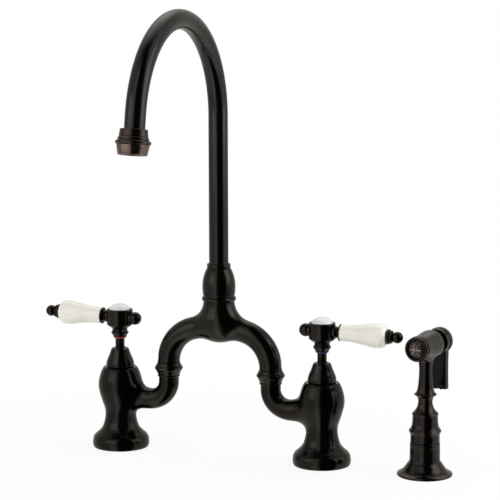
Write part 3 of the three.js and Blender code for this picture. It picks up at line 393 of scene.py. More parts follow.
# Outlines: corners with a third value are rounded to that radius.
def rounded(points, steps=4):
    line = []
    for i, point in enumerate(points):
        here = Vector(point[:2])
        if len(point) < 3 or i in (0, len(points) - 1):
            line.append(here)
            continue
        before = Vector(points[i - 1][:2]) - here
        after = Vector(points[i + 1][:2]) - here
        half = before.angle(after) / 2
        room = min(before.length * cornerShare, after.length * cornerShare)
        reach = min(point[2] / math.tan(half), room)
        before.normalize()
        after.normalize()
        centre = here + (before + after).normalized() * (reach / math.cos(half))
        first = here + before * reach - centre
        last = here + after * reach - centre
        for k in range(steps + 1):
            share = k / steps
            spoke = first.lerp(last, share).normalized() * first.length
            line.append(centre + spoke)
    return [(p.x, p.y) for p in line]


# A smooth line through knots.
def flowing(knots, steps=4):
    points = np.array(knots, float)
    chord = np.concatenate([[0], np.cumsum(np.hypot(*np.diff(points, axis=0).T))])
    slopes = np.gradient(points, chord, axis=0)
    line = []
    for i in range(len(points) - 1):
        span = chord[i + 1] - chord[i]
        for k in range(steps):
            t = k / steps
            a = (2 * t**3 - 3 * t**2 + 1) * points[i] + (t**3 - 2 * t**2 + t) * span * slopes[i]
            b = (3 * t**2 - 2 * t**3) * points[i + 1] + (t**3 - t**2) * span * slopes[i + 1]
            line.append(tuple(a + b))
    line.append(tuple(points[-1]))
    return line


def arc(centre, radius, first, last, steps):
    angles = np.radians(np.linspace(first, last, steps + 1))
    return [(centre[0] + radius * math.cos(a), centre[1] + radius * math.sin(a)) for a in angles]


# The outline of a plain rod, or of a hole for one.
def rod(radius, low, high):
    return [(0, low), (radius, low), (radius, high), (0, high)]


# Meshes are gathered as points and faces before they become an object.
def blank():
    mesh = bmesh.new()
    mesh.verts.layers.float.new("turned")
    return mesh


# Faces between each pair of rings; a ring of one corner closes to a point.
def skin(mesh, pairs, count):
    for low, high in pairs:
        for i in range(count):
            j = (i + 1) % count
            corners = [low[i % len(low)], low[j % len(low)], high[j % len(high)], high[i % len(high)]]
            corners = list(dict.fromkeys(corners))
            if len(corners) > 2:
                mesh.faces.new(corners)


def facedOut(mesh):
    bmesh.ops.recalc_face_normals(mesh, faces=mesh.faces)
    return mesh


# A shape turned about Z. It keeps the length along its outline for the lines of the lathe.
def turned(outline, place=Matrix(), count=96):
    mesh = blank()
    layer = mesh.verts.layers.float["turned"]
    length = 0
    rings = []
    last = outline[0]
    for radius, height in outline:
        length += math.hypot(radius - last[0], height - last[1])
        last = (radius, height)
        ring = []
        for i in range(1 if radius < 1e-6 else count):
            angle = 2 * math.pi * i / count
            x, y = radius * math.cos(angle), radius * math.sin(angle)
            vert = mesh.verts.new(place @ Vector((x, y, height)))
            vert[layer] = length
            ring.append(vert)
        rings.append(ring)
    pairs = list(zip(rings, rings[1:]))
    if len(rings[0]) > 1 and len(rings[-1]) > 1:
        pairs.append((rings[-1], rings[0]))
    skin(mesh, pairs, count)
    bmesh.ops.remove_doubles(mesh, verts=mesh.verts, dist=1e-5)
    return facedOut(mesh)


# A round bar swept along a list of points.
def swept(points, radius, count=32):
    mesh = blank()
    points = [Vector(p) for p in points]
    angles = np.linspace(0, 2 * math.pi, count, endpoint=False)
    side = None
    rings = []
    for i, point in enumerate(points):
        along = (points[min(i + 1, len(points) - 1)] - points[max(i - 1, 0)]).normalized()
        if side is None:
            side = along.orthogonal().normalized()
        side = (side - along * side.dot(along)).normalized()
        other = along.cross(side)
        spokes = [side * math.cos(a) + other * math.sin(a) for a in angles]
        rings.append([mesh.verts.new(point + spoke * radius) for spoke in spokes])
    skin(mesh, zip(rings, rings[1:]), count)
    mesh.faces.new(reversed(rings[0]))
    mesh.faces.new(rings[-1])
    return facedOut(mesh)


def baked(name, mesh):
    data = bpy.data.meshes.new(name)
    mesh.to_mesh(data)
    mesh.free()
    return data


def linked(name, data):
    thing = bpy.data.objects.new(name, data)
    bpy.context.scene.collection.objects.link(thing)
    return thing


def discard(thing):
    data = thing.data
    bpy.data.objects.remove(thing)
    bpy.data.meshes.remove(data)


def joined(*meshes):
    whole = bmesh.new()
    for part in meshes:
        kept = baked("part", part)
        whole.from_mesh(kept)
        bpy.data.meshes.remove(kept)
    return whole


# What one modifier makes of a mesh; sizes go to the inputs of a geometry nodes tree.
def modified(mesh, kind, settings, sizes=None):
    thing = linked("rough", baked("rough", mesh))
    modifier = thing.modifiers.new("shape", kind)
    for key, value in settings.items():
        setattr(modifier, key, value)
    for key, value in (sizes or {}).items():
        modifier[key] = value
    bpy.context.view_layer.update()
    graph = bpy.context.evaluated_depsgraph_get()
    data = bpy.data.meshes.new_from_object(thing.evaluated_get(graph))
    discard(thing)
    made = bmesh.new()
    made.from_mesh(data)
    bpy.data.meshes.remove(data)
    return made


# Joins or cuts closed shapes.
def combined(base, tool, operation):
    other = linked("tool", baked("tool", tool))
    result = modified(base, "BOOLEAN", {"operation": operation, "solver": "EXACT", "object": other})
    discard(other)
    return result


def cut(base, *tools):
    return combined(base, joined(*tools), "DIFFERENCE")


# Bend per millimetre at which a ridge or groove begins to show, and at which it shows fully.
bendRange = {"ridge": (0.3, 1.4), "groove": (0.15, 0.9)}
shortestEdge = 0.02
sharpAngle = math.radians(38)


# How sharply each corner of a mesh bulges or sinks, for wear on ridges (a painted highlight on the paddle's
# ridges) and dirt in grooves.
def markBends(data):
    count = len(data.vertices)
    places = np.empty(count * 3, np.float32)
    normals = np.empty(count * 3, np.float32)
    data.vertices.foreach_get("co", places)
    data.vertex_normals.foreach_get("vector", normals)
    places = places.reshape(-1, 3) * perMetre
    normals = normals.reshape(-1, 3)
    edges = np.empty(len(data.edges) * 2, np.int32)
    data.edges.foreach_get("vertices", edges)
    a, b = edges.reshape(-1, 2).T
    step = places[b] - places[a]
    bend = ((normals[b] - normals[a]) * step).sum(1) / np.maximum((step**2).sum(1), shortestEdge)
    for (name, (low, high)), sign in zip(bendRange.items(), (1, -1)):
        values = np.zeros(count)
        for end in (a, b):
            np.maximum.at(values, end, bend * sign)
        share = np.clip((values - low) / (high - low), 0, 1)
        layer = data.attributes.new(name, "FLOAT", "POINT")
        layer.data.foreach_set("value", share.astype(np.float32))


# Makes the finished object, in metres, with the body of its CAD node and in its place.
def finished(name, node, mesh, material, place=Matrix(), replaces=True):
    mesh.transform(Matrix.Scale(1 / perMetre, 4) @ place)
    data = baked(name, mesh)
    data.shade_smooth()
    data.set_sharp_from_angle(angle=sharpAngle)
    markBends(data)
    data.materials.append(material)
    thing = linked(name, data)
    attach(thing, bodyOf[node])
    if replaces:
        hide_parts(node)
    return thing


# Smooth castings: a rough union is remeshed and drawn onto a rule for its surface.
def capsule(points, low, high, radius):
    along = np.clip(points[:, 2], low, high)
    return np.sqrt(points[:, 0] ** 2 + points[:, 1] ** 2 + (points[:, 2] - along) ** 2) - radius


def toSegment(points, start, end):
    start, end = np.array(start, float), np.array(end, float)
    along = end - start
    share = np.clip((points - start) @ along / (along @ along), 0, 1)
    return np.linalg.norm(points - start - share[:, None] * along, axis=1)


# Distance to an arc in the XZ plane, far where another run is nearer.
def toArc(points, centre, radius, first, last):
    x, z = points[:, 0] - centre[0], points[:, 2] - centre[1]
    angle = np.degrees(np.arctan2(z, x))
    inside = (angle >= first) & (angle <= last)
    return np.where(inside, np.hypot(np.hypot(x, z) - radius, points[:, 1]), 1e6)


def fillet(first, second, reach):
    share = np.maximum(reach - np.abs(first - second), 0) / reach
    return np.minimum(first, second) - share**2 * reach / 4


def eased(value, low, high):
    share = np.clip((value - low) / (high - low), 0, 1)
    return share * share * (3 - 2 * share)


# Between two sizes, eased from one place to another.
def blended(first, second, value, low, high):
    return first + (second - first) * eased(value, low, high)


# Rounds of drawing and evening out, rounds of drawing alone, share of each even move, longest draw,
# step at which a slope is felt and the least slope that is trusted.
drawing = {"rounds": 10, "last": 3, "pull": 0.6, "reach": 1.5, "step": 0.01, "least": 0.2}


def drawnOnto(rough, surface, spacing, how=drawing):
    mesh = modified(rough, "REMESH", {"mode": "VOXEL", "voxel_size": spacing})
    mesh.verts.ensure_lookup_table()
    places = np.array([v.co[:] for v in mesh.verts])
    ends = np.array([[e.verts[0].index, e.verts[1].index] for e in mesh.edges])
    a, b = ends.T
    degree = np.bincount(ends.ravel(), minlength=len(places))[:, None]
    reach, step = how["reach"], how["step"]
    for i in range(how["rounds"] + how["last"]):
        value = surface(places)
        normal = np.stack([(surface(places + step * axis) - value) / step for axis in np.eye(3)], axis=1)
        size = np.maximum(np.linalg.norm(normal, axis=1), how["least"])[:, None]
        places = places - np.clip(value[:, None] / size, -reach, reach) * normal / size
        if i < how["rounds"]:
            total = np.zeros_like(places)
            for axis in range(3):
                total[:, axis] = np.bincount(a, places[b, axis], len(places))
                total[:, axis] += np.bincount(b, places[a, axis], len(places))
            move = total / degree - places
            unit = normal / size
            places = places + how["pull"] * (move - unit * (move * unit).sum(1)[:, None])
    for vert, place in zip(mesh.verts, places):
        vert.co = place
    return mesh


# Cuts a closed mesh flat and closes it, only among the faces that fit the test.
def trimmed(mesh, point, normal, test=None):
    chosen = [f for f in mesh.faces if test is None or test(f.calc_center_median())]
    parts = dict.fromkeys(item for f in chosen for item in (f, *f.edges, *f.verts))  # kept in order
    bmesh.ops.bisect_plane(
        mesh, geom=list(parts), plane_co=point, plane_no=normal, clear_outer=True, dist=1e-4
    )
    bmesh.ops.holes_fill(mesh, edges=[e for e in mesh.edges if e.is_boundary], sides=0)
    return facedOut(mesh)


# Valve bodies.
valveBody = {
    "profile": [
        (26.0, -6), (26.0, -2), (26.05, 0), (26.65, 1.4), (26.9, 3), (26.9, 5), (26.65, 7), (26.2, 9),
        (25.0, 11), (22.9, 13), (20.6, 15), (18.8, 17), (17.4, 19), (16.5, 21.5), (15.7, 24), (15.1, 27),
        (14.7, 30), (14.6, 33), (14.85, 36), (15.55, 39), (16.55, 42), (17.6, 45), (18.6, 48), (19.6, 51.2),
        (20.3, 54), (20.8, 57.2), (20.9, 60), (20.65, 63.3), (20.1, 66.3), (19.2, 69.6), (17.95, 73),
        (17.0, 75), (16.2, 76.3), (15.5, 77), (14.8, 78), (14.8, 84),
    ],
    "armZ": 48.3,
    "armReach": 31.8,
    "elbow": 18.5,
    "armTop": 71.2,
    "armRadius": 10.1,
    "elbowRadius": 9.4,
    "fillet": 10.5,
    "top": 77.0,
    "spacing": 0.75,
    "armSpare": 8,
    "roughSpare": 5,
    "taper": (22, 44),
    "trimFrom": 32,
    "passages": [(0, -1), (8, -1), (8, 20), (4.5, 20), (4.5, 32.2), (9.5, 32.2), (9.5, 78), (0, 78)],
    "spigot": [(5.5, 70.0), (8.6, 70.0), (8.6, 77.2, 0.4), (8.2, 77.6), (5.5, 77.6)],
}


def profileRule(profile):
    line = np.array(flowing(profile, 8))
    slopes = np.gradient(line[:, 0], line[:, 1])

    def rule(points):
        radius = np.interp(points[:, 2], line[:, 1], line[:, 0])
        slope = np.interp(points[:, 2], line[:, 1], slopes)
        return (np.hypot(points[:, 0], points[:, 1]) - radius) / np.sqrt(1 + slope**2)

    return rule


def makeValveBodies(size=valveBody):
    post = profileRule(size["profile"])
    z, reach, elbow = size["armZ"], size["armReach"], size["elbow"]
    end, top = reach + elbow, size["armTop"]
    turn = (reach, z + elbow)

    def surface(points):
        run = toSegment(points, (0, 0, z), (reach, 0, z))
        bend = toArc(points, turn, elbow, -90, 0)
        rise = toSegment(points, (end, 0, z + elbow), (end, 0, top + size["armSpare"]))
        radius = blended(size["armRadius"], size["elbowRadius"], points[:, 0], *size["taper"])
        arm = np.minimum(np.minimum(run, bend), rise) - radius
        return fillet(post(points), arm, size["fillet"])

    line = rounded(size["profile"])
    rough = turned([(0, line[0][1]), *line, (0, line[-1][1])], count=48)
    corner = [(x, 0, y) for x, y in arc(turn, elbow, -90, 0, 11)]
    arm = swept([(0, 0, z), *corner, (end, 0, top + size["roughSpare"])], size["armRadius"])
    mesh = drawnOnto(joined(rough, arm), surface, size["spacing"])
    mesh = trimmed(mesh, (0, 0, 0), (0, 0, -1))
    mesh = trimmed(mesh, (0, 0, size["top"]), (0, 0, 1))
    mesh = trimmed(mesh, (0, 0, top), (0, 0, 1), lambda p: p.x > size["trimFrom"])
    mesh = cut(mesh, turned(size["passages"], count=64))
    data = baked("valve_body", joined(mesh, turned(rounded(size["spigot"]), shift(end), 64)))
    for side, stand in sides.items():
        copy = bmesh.new()
        copy.from_mesh(data)
        finished(f"{side}_post", f"{side}_body", copy, shadedPostBronze, stand)
    bpy.data.meshes.remove(data)


makeValveBodies()
print("valve bodies made")


# Bridge casting, with its bead and threaded nipple turned on top.
bridgeCasting = {
    "x": 51.3,
    "foot": 86.8,
    "bendZ": 86.6,
    "bend": 33.4,
    "turn": 76.0,
    "armRadius": 10.6,
    "footRadius": 10.3,
    "hubRadius": 14.35,
    "belly": 108.0,
    "blend": 5.0,
    "lowFillet": 11.0,
    "highFillet": 16.0,
    "beadZ": 146.5,
    "bead": 4.5,
    "beadRing": (13.75, 2.25),
    "beadSpan": 78,
    "beadSeat": 14.6,
    "seatEase": (0.4, 0.1),
    "boreEase": 0.3,
    "bevel": 0.6,
    "nippleRadius": 12.6,
    "nippleTop": 165.0,
    "bore": 9.25,
    "boreFloor": 124.0,
    "boreTop": 170,
    "spacing": 0.75,
    "footSpare": 8,
    "roughSpare": 4,
    "slim": (88, 98),
    "filletRise": (116, 132),
    "hubTop": 190,
    "hub": [(0, 107.6), (9, 110.5), (13.2, 117), (14.3, 124), (14.3, 153), (0, 153)],
    "tail": [(5.5, 79.7), (8.6, 79.7, 0.2), (8.6, 81.7, 0.2), (7.1, 81.7), (7.1, 88), (5.5, 88)],
}


def makeBridge(size=bridgeCasting):
    x, bend, foot = size["x"], size["bend"], size["foot"]
    turn = math.radians(size["turn"])
    centre = (x - bend, size["bendZ"])
    tip = (centre[0] + bend * math.cos(turn), 0, centre[1] + bend * math.sin(turn))
    top = (0, 0, tip[2] + tip[0] / math.tan(turn))

    def surface(points):
        across = np.sqrt(points[:, 0] ** 2 + size["blend"] ** 2)
        folded = np.column_stack([across, points[:, 1], points[:, 2]])
        leg = toSegment(folded, (x, 0, foot - size["footSpare"]), (x, 0, size["bendZ"]))
        curve = toArc(folded, centre, bend, 0, size["turn"])
        run = toSegment(folded, tip, top)
        radius = blended(size["footRadius"], size["armRadius"], folded[:, 2], *size["slim"])
        arms = np.minimum(np.minimum(leg, curve), run) - radius
        hub = capsule(points, size["belly"] + size["hubRadius"], size["hubTop"], size["hubRadius"])
        reach = blended(size["lowFillet"], size["highFillet"], points[:, 2], *size["filletRise"])
        return fillet(arms, hub, reach)

    arms = []
    for side in (-1, 1):
        curve = [(side * across, 0, z) for across, z in arc(centre, bend, 0, size["turn"], 15)]
        arms.append(swept([(side * x, 0, foot - size["roughSpare"]), *curve, top], size["armRadius"]))
    mesh = drawnOnto(joined(*arms, turned(size["hub"], count=48)), surface, size["spacing"])
    mesh = trimmed(mesh, (0, 0, size["beadZ"] + 1), (0, 0, 1))
    mesh = trimmed(mesh, (0, 0, foot), (0, 0, -1))
    mesh = cut(mesh, turned(rod(size["bore"], size["boreFloor"], size["boreTop"])))
    bore, nipple, seat, bevel = size["bore"], size["nippleRadius"], size["beadSeat"], size["bevel"]
    low, high, end = size["beadZ"], size["beadZ"] + size["bead"], size["nippleTop"]
    ring, thick = size["beadRing"]
    span, (easeIn, easeUp) = size["beadSpan"], size["seatEase"]
    crown = [
        (bore, low + size["boreEase"]), (seat - easeIn, low + easeUp), (seat, low),
        *arc((ring, (low + high) / 2), thick, -span, span, 12), (seat, high), (nipple, high),
        (nipple, end - bevel), (nipple - bevel, end), (bore, end),
    ]
    tails = [turned(rounded(size["tail"]), shift(side * x), 64) for side in (-1, 1)]
    finished("bridge_casting", "bridge", joined(mesh, turned(crown), *tails), castBronze, middleStand)


makeBridge()
print("bridge made")


# Union nuts between the arms and the bridge.
unionNut = {
    "outline": [
        (9.0, 71.5), (10.2, 71.5, 0.25), (10.5, 72.0, 0.3), (10.5, 73.0, 0.25), (10.15, 73.35, 0.15),
        (10.3, 73.9, 0.3), (11.1, 75.1, 0.8), (11.7, 76.8, 1.5), (12.7, 78.2, 1), (13.3, 79.4, 0.25),
        (12.9, 80.8, 0.8), (11.7, 82.4, 1.2), (11.0, 84.2, 0.8), (10.35, 84.9, 0.15), (10.6, 85.3, 0.3),
        (10.6, 86.2, 0.3), (10.3, 86.5, 0.2), (7.4, 86.5), (7.4, 82.0), (9.0, 82.0),
    ],
    "x": 50.3,
}

for side, stand in sides.items():
    nut = turned(rounded(unionNut["outline"]), count=112)
    finished(f"{side}_coupling_nut", f"{side}_union_nut", nut, turnedBronze, stand @ shift(unionNut["x"]))
print("union nuts made")


# Bonnets, spindles, rings and handles.
bonnet = {
    "foot": [(7.2, 65.3), (9.2, 65.3), (9.2, 77.3), (12.5, 77.3, 0.3), (13.2, 77.9, 0.4), (13.25, 79.0)],
    "dome": [
        (13.2, 80.0), (13.0, 81.6), (12.5, 83.3), (11.75, 85.2), (10.95, 87), (10.2, 88.8), (9.4, 91),
        (8.7, 93), (8.2, 94.3), (7.6, 95.0), (6.8, 95.3),
    ],
    "mouth": [(5.4, 95.3, 0.2), (5.0, 94.7, 0.2), (4.75, 94.5), (4.75, 72.3), (7.2, 72.3)],
}
spindle = {
    "outline": [
        (0, 39.6), (7.4, 39.6, 0.2), (7.4, 43.4, 0.2), (4.35, 43.4), (4.35, 59.6), (3.5, 59.6), (3.5, 61.2),
        (4.35, 61.2), (4.35, 96.4), (4.15, 96.7), (4.35, 97), (4.35, 117.5), (4, 117.9), (0, 117.9),
    ],
    "ring": [(4.65, 104.9), (5.9, 104.9, 0.45), (6.3, 105.5, 0.5), (5.9, 106.1, 0.45), (4.65, 106.1)],
}
hub = {
    "outline": [
        (0, 106.4), (6.3, 106.4, 0.3), (6.8, 107.4, 1), (8.45, 109.9, 0.35), (7.15, 111.6, 1.4),
        (7.1, 114.3, 1.4), (10.5, 116.2, 0.5), (12.3, 117.9, 0.9), (12.35, 131.8, 0.5), (11.7, 132.6, 0.35),
        (10.3, 132.7, 0.2), (10.2, 129.3), (0, 129.3),
    ],
    "leverZ": 124.6,
    "boss": 5.55,
    "bossEnd": 13.2,
    "screwZ": 112.4,
    "screwTurn": 58.0,
    "bevel": 0.4,
    "tieHole": 2.2,
    # Radius, foot and top of plain holes.
    "seat": (10.2, 129.3, 135),
    "spindleHole": (4.65, 105, 118.2),
    "screwHole": (1.65, 0, 9),
    "screwSocket": (0.85, 5.6, 8),
    "screwBody": [(0, 4.65), (1.5, 4.65), (1.5, 6.9, 0.15), (1.3, 7.1), (0, 7.1)],
}
button = {
    "outline": [(0, 129.6), (9.9, 129.6, 0.2), (9.9, 132.4, 0.5), (9.6, 133.1)],
    "dome": [(9.5, 133.3), (8.8, 134.4), (7.4, 135.6), (5.4, 136.6), (3.0, 137.2), (0.9, 137.38), (0, 137.4)],
}
lever = {
    "collar": [
        (2.2, 13.5), (5.4, 13.5, 0.3), (5.6, 14.0, 0.3), (4.9, 14.7, 0.8), (4.5, 15.5, 0.8), (5.0, 16.3, 0.8),
        (6.4, 16.9, 0.8), (7.8, 17.2, 0.3), (7.8, 17.8, 0.3), (7.3, 18.1, 0.2), (2.2, 18.1),
    ],
    "porcelain": [
        (7.0, 18.4), (7.35, 18.7), (7.5, 19.6), (7.5, 22.5), (7.6, 26.5), (7.95, 31), (8.6, 36), (9.45, 41),
        (10.35, 46), (11.0, 50), (11.2, 53.3), (11.0, 56.2), (10.3, 58.5), (9.2, 60.1), (8.0, 61.1),
        (7.2, 61.65), (6.6, 61.9),
    ],
    "finial": [
        (2.2, 62.2), (6.5, 62.2, 0.3), (6.9, 62.7, 0.4), (6.9, 64.1, 0.4), (6.4, 64.6, 0.3), (5.5, 64.8, 0.2),
        (5.6, 65.3, 0.2), (6.0, 65.7, 0.3), (6.0, 66.7, 0.3), (5.5, 67.2, 0.3), (4.0, 67.6, 0.2),
    ],
    "ball": 5.3,
    "ballFrom": -52,
    "tip": 77.15,
    "knob": 6.1,
    "knobStart": 13.5,
    "knobCentre": 15.9,
    "knobSeat": 17.5,
    "tieEnd": 70.2,
    # The hot lever's tip stands a little high and the cold one's a little low.
    "lean": {"hot": 1.4, "cold": -0.9},
}


def leverPlace(stand, turn=-1, lean=0.0):
    tilt = spin(math.radians(lean), "Y") @ spin(turn * quarter, "Y")
    return stand @ shift(z=hub["leverZ"]) @ tilt


screwPlace = shift(z=hub["screwZ"]) @ spin(math.radians(hub["screwTurn"]), "Z") @ spin(quarter, "X")


def hubMesh(size=hub):
    boss, end, bevel = size["boss"], size["bossEnd"], size["bevel"]
    side = [(boss - bevel, -end), (boss, bevel - end), (boss, end - bevel), (boss - bevel, end)]
    cross = [(0, -end), *side, (0, end)]
    onAxis = leverPlace(Matrix())
    whole = combined(turned(rounded(size["outline"])), turned(cross, onAxis, 64), "UNION")
    tie = turned(rod(size["tieHole"], -end - 1, end + 1), onAxis, 24)
    spindleHole = turned(rod(*size["spindleHole"]), count=48)
    screwHole = turned(rod(*size["screwHole"]), screwPlace, 32)
    return cut(whole, tie, turned(rod(*size["seat"])), spindleHole, screwHole)


def makeHandle(side, stand, ringFinish):
    def add(name, node, mesh, material, place=stand):
        finished(f"{side}_{name}", f"{side}_{node}", mesh, material, place)

    cap = rounded(bonnet["foot"]) + flowing(bonnet["dome"]) + rounded(bonnet["mouth"])
    add("bonnet_cap", "bonnet", turned(cap), turnedBronze)
    add("spindle", "stem", turned(rounded(spindle["outline"]), count=48), turnedBronze)
    add("index_ring", "colour_ring", turned(rounded(spindle["ring"]), count=64), ringFinish)
    add("lever_hub", "hub", hubMesh(), handleBronze)
    # The set screw has a six-sided socket in its outer end.
    screw = turned(rounded(hub["screwBody"]), screwPlace, 32)
    add("grub_screw", "set_screw", cut(screw, turned(rod(*hub["screwSocket"]), screwPlace, 6)), steel)
    add("cap_button", "button", turned(rounded(button["outline"]) + flowing(button["dome"])), buttonPorcelain)

    lean, tie, tip = lever["lean"][side], hub["tieHole"], lever["tip"]
    place = leverPlace(stand, lean=lean)
    add("dished_collar", "lever_collar", turned(rounded(lever["collar"]), count=80), handleBronze, place)
    grip = lever["porcelain"]
    outline = [(tie, grip[0][1]), *flowing(grip), (tie, grip[-1][1])]
    add("lever_grip", "porcelain_lever", turned(outline), porcelain, place)
    ball = arc((0, tip - lever["ball"]), lever["ball"], lever["ballFrom"], 90, 18)
    outline = [(0, lever["tieEnd"]), (tie, lever["tieEnd"]), *rounded(lever["finial"]), *ball[:-1], (0, tip)]
    add("lever_finial", "finial", turned(outline, count=72), handleBronze, place)
    start, centre, radius, seat = lever["knobStart"], lever["knobCentre"], lever["knob"], lever["knobSeat"]
    dome = arc((0, centre), radius, math.degrees(math.asin((start - centre) / radius)), 90, 22)
    outline = [(0, seat), (tie, seat), (tie, start), *dome[:-1], (0, centre + radius)]
    add("back_knob", "knob", turned(outline, count=72), handleBronze, leverPlace(stand, 1, lean))


makeHandle("hot", sides["hot"], redRing)
makeHandle("cold", sides["cold"], blueRing)
print("handles made")


# Nut at the foot of the spout.
spoutNut = {
    "body": [
        (14.5, 151.3), (14.85, 152.6), (15.2, 155.5), (15.42, 159.5), (15.3, 163), (14.95, 166.2),
        (14.3, 169.2), (13.4, 172.2), (12.3, 174.9), (11.2, 177.1),
    ],
    "ring": [
        (10.5, 177.45, 0.15), (10.9, 177.9, 0.3), (11.0, 179.6, 1.2), (10.9, 181.2, 0.4), (10.5, 181.6, 0.2),
    ],
    "foot": (12.9, 151.3),
    "inside": [(9.25, 181.6), (9.25, 169.1), (12.9, 169.1)],
}


def makeSpoutNut(size=spoutNut):
    shoulder = rounded([size["body"][-1], *size["ring"], size["inside"][0]])[1:]
    outline = [size["foot"], *flowing(size["body"], 5), *shoulder, *size["inside"][1:]]
    finished("acorn_nut", "spout_nut", turned(outline, count=112), turnedBronze, middleStand)


makeSpoutNut()

# Gooseneck: a round tube drawn by geometry nodes along a straight rise and an arch.
gooseneck = {
    "Foot": 138.0,
    "Rise": 318.0,
    "Arch": 92.45,
    "Sweep": 170.0,
    "Stub": 19.5,
    "Radius": 9.0,
    "Stations": 260,
    "Sides": 80,
}
spoutCollar = [(8, 166.8), (11.2, 166.8, 0.3), (11.2, 168.8, 0.3), (8, 168.8)]


# A geometry nodes tree with named inputs for its sizes.
class Grower(Board):
    def __init__(self, name, sizes):
        super().__init__(bpy.data.node_groups.new(name, "GeometryNodeTree"))
        for way in ("INPUT", "OUTPUT"):
            self.tree.interface.new_socket("Geometry", in_out=way, socket_type="NodeSocketGeometry")
        self.sizes = {}
        for key, value in sizes.items():
            kind = "NodeSocketInt" if isinstance(value, int) else "NodeSocketFloat"
            socket = self.tree.interface.new_socket(key, in_out="INPUT", socket_type=kind)
            self.sizes[socket.identifier] = value
        self.source = self.node("NodeGroupInput").socket.node

    def __getitem__(self, key):
        return Signal(self, self.source.outputs[key])

    def index(self):
        return self.node("GeometryNodeInputIndex")

    def circle(self, sides, radius):
        return self.node("GeometryNodeCurvePrimitiveCircle", None, {"Resolution": sides, "Radius": radius})

    def tube(self, path, section, capped=False):
        inputs = {"Curve": path, "Profile Curve": section, "Fill Caps": capped}
        return self.node("GeometryNodeCurveToMesh", None, inputs)

    def spread(self, points, piece, **more):
        inputs = {"Points": points, "Instance": piece, **more}
        return self.node("GeometryNodeInstanceOnPoints", None, inputs)

    def spots(self, curve):
        return self.node("GeometryNodeCurveToPoints", {"mode": "EVALUATED"}, {"Curve": curve})

    def grow(self, geometry, material):
        real = self.node("GeometryNodeRealizeInstances", None, {"Geometry": geometry})
        painted = self.node("GeometryNodeSetMaterial", None, {"Geometry": real, "Material": material})
        self.node("NodeGroupOutput", None, {0: painted})
        return modified(bmesh.new(), "NODES", {"node_group": self.tree}, self.sizes)


def makeGooseneck(size=gooseneck):
    grower = Grower("gooseneck", size)
    foot, rise, arch = grower["Foot"], grower["Rise"], grower["Arch"]
    sweep = grower["Sweep"] * (math.pi / 180)
    length = (rise - foot) + arch * sweep + grower["Stub"]
    line = grower.node("GeometryNodeMeshLine", {"mode": "OFFSET"}, {"Count": grower["Stations"]})
    along = grower.index() / (grower["Stations"] - 1) * length
    straight = along.math("MINIMUM", rise - foot)
    beyond = (along - (rise - foot)).math("MAXIMUM", 0)
    angle = (beyond / arch).math("MINIMUM", sweep)
    spare = (beyond - arch * sweep).math("MAXIMUM", 0)
    y = -1 * arch * (1 - angle.math("COSINE")) - spare * sweep.math("SINE")
    z = foot + straight + arch * angle.math("SINE") + spare * sweep.math("COSINE")
    inputs = {"Geometry": line, "Position": grower.vector(0, y, z)}
    bent = grower.node("GeometryNodeSetPosition", None, inputs)
    path = grower.node("GeometryNodeMeshToCurve", None, {"Mesh": bent})
    section = grower.circle(grower["Sides"], grower["Radius"])
    mesh = grower.grow(grower.tube(path, section, True), spoutBronze)
    bmesh.ops.remove_doubles(mesh, verts=mesh.verts, dist=1e-4)
    whole = joined(facedOut(mesh), turned(rounded(spoutCollar), count=80))
    finished("gooseneck", "spout_tube", whole, spoutBronze, middleStand)


makeGooseneck()
print("spout made")

# Outlet bell, turned about the end of the gooseneck; heights are distances down its axis.
bell = {
    "outside": [
        (9.1, 0.0), (11.5, 0.0, 0.4), (11.9, 0.5, 0.4), (12.5, 6.3, 0.2), (12.3, 6.8, 0.15), (12.9, 6.9, 0.2),
        (13.4, 7.3, 0.4), (13.4, 8.9, 0.4), (13.0, 9.4, 0.2), (13.5, 9.5, 0.3),
    ],
    "bead": (13.44, 11.35, 1.9),
    "beadSpan": 80,
    "cup": [
        (13.6, 13.2), (13.9, 13.3, 0.2), (14.05, 13.8, 0.3), (12.75, 20.7, 0.2), (12.45, 20.9, 0.1),
        (12.65, 21.2, 0.3),
    ],
    "mouth": [(12.6, 21.9, 0.25), (11.3, 22.0, 0.2), (11.0, 21.6, 0.2), (11.0, 8.0), (9.1, 8.0)],
    # Where it sits: the arch of the solid's tube and the length of its straight end.
    "arch": 93.0,
    "stub": 11.5,
}
aerator = {
    "housing": [
        (8.3, 20.4), (8.6, 20.9, 0.2), (10.2, 20.9, 0.3), (10.7, 20.4, 0.2), (10.7, 10.2), (9.4, 10.2),
        (9.4, 19.1), (8.3, 19.1),
    ],
    "plateLow": 18.8,
    "plateHigh": 16.8,
    "plateRadius": 9.1,
    "holes": {"Pitch": 1.15, "Reach": 8.4, "Hole": 0.36, "Rim": 0.14, "Count": 16},
}


def outletPlace(size=bell):
    sweep = math.radians(gooseneck["Sweep"])
    arch, stub = size["arch"], size["stub"]
    y = -arch * (1 - math.cos(sweep)) - stub * math.sin(sweep)
    z = gooseneck["Rise"] + arch * math.sin(sweep) + stub * math.cos(sweep)
    down = Vector((0, -math.sin(sweep), math.cos(sweep)))
    turn = Vector((0, 0, 1)).rotation_difference(down).to_matrix().to_4x4()
    return middleStand @ shift(0, y, z) @ turn


# Spacing of a hexagon grid's rows, as a share of its pitch.
rowShare = 0.866


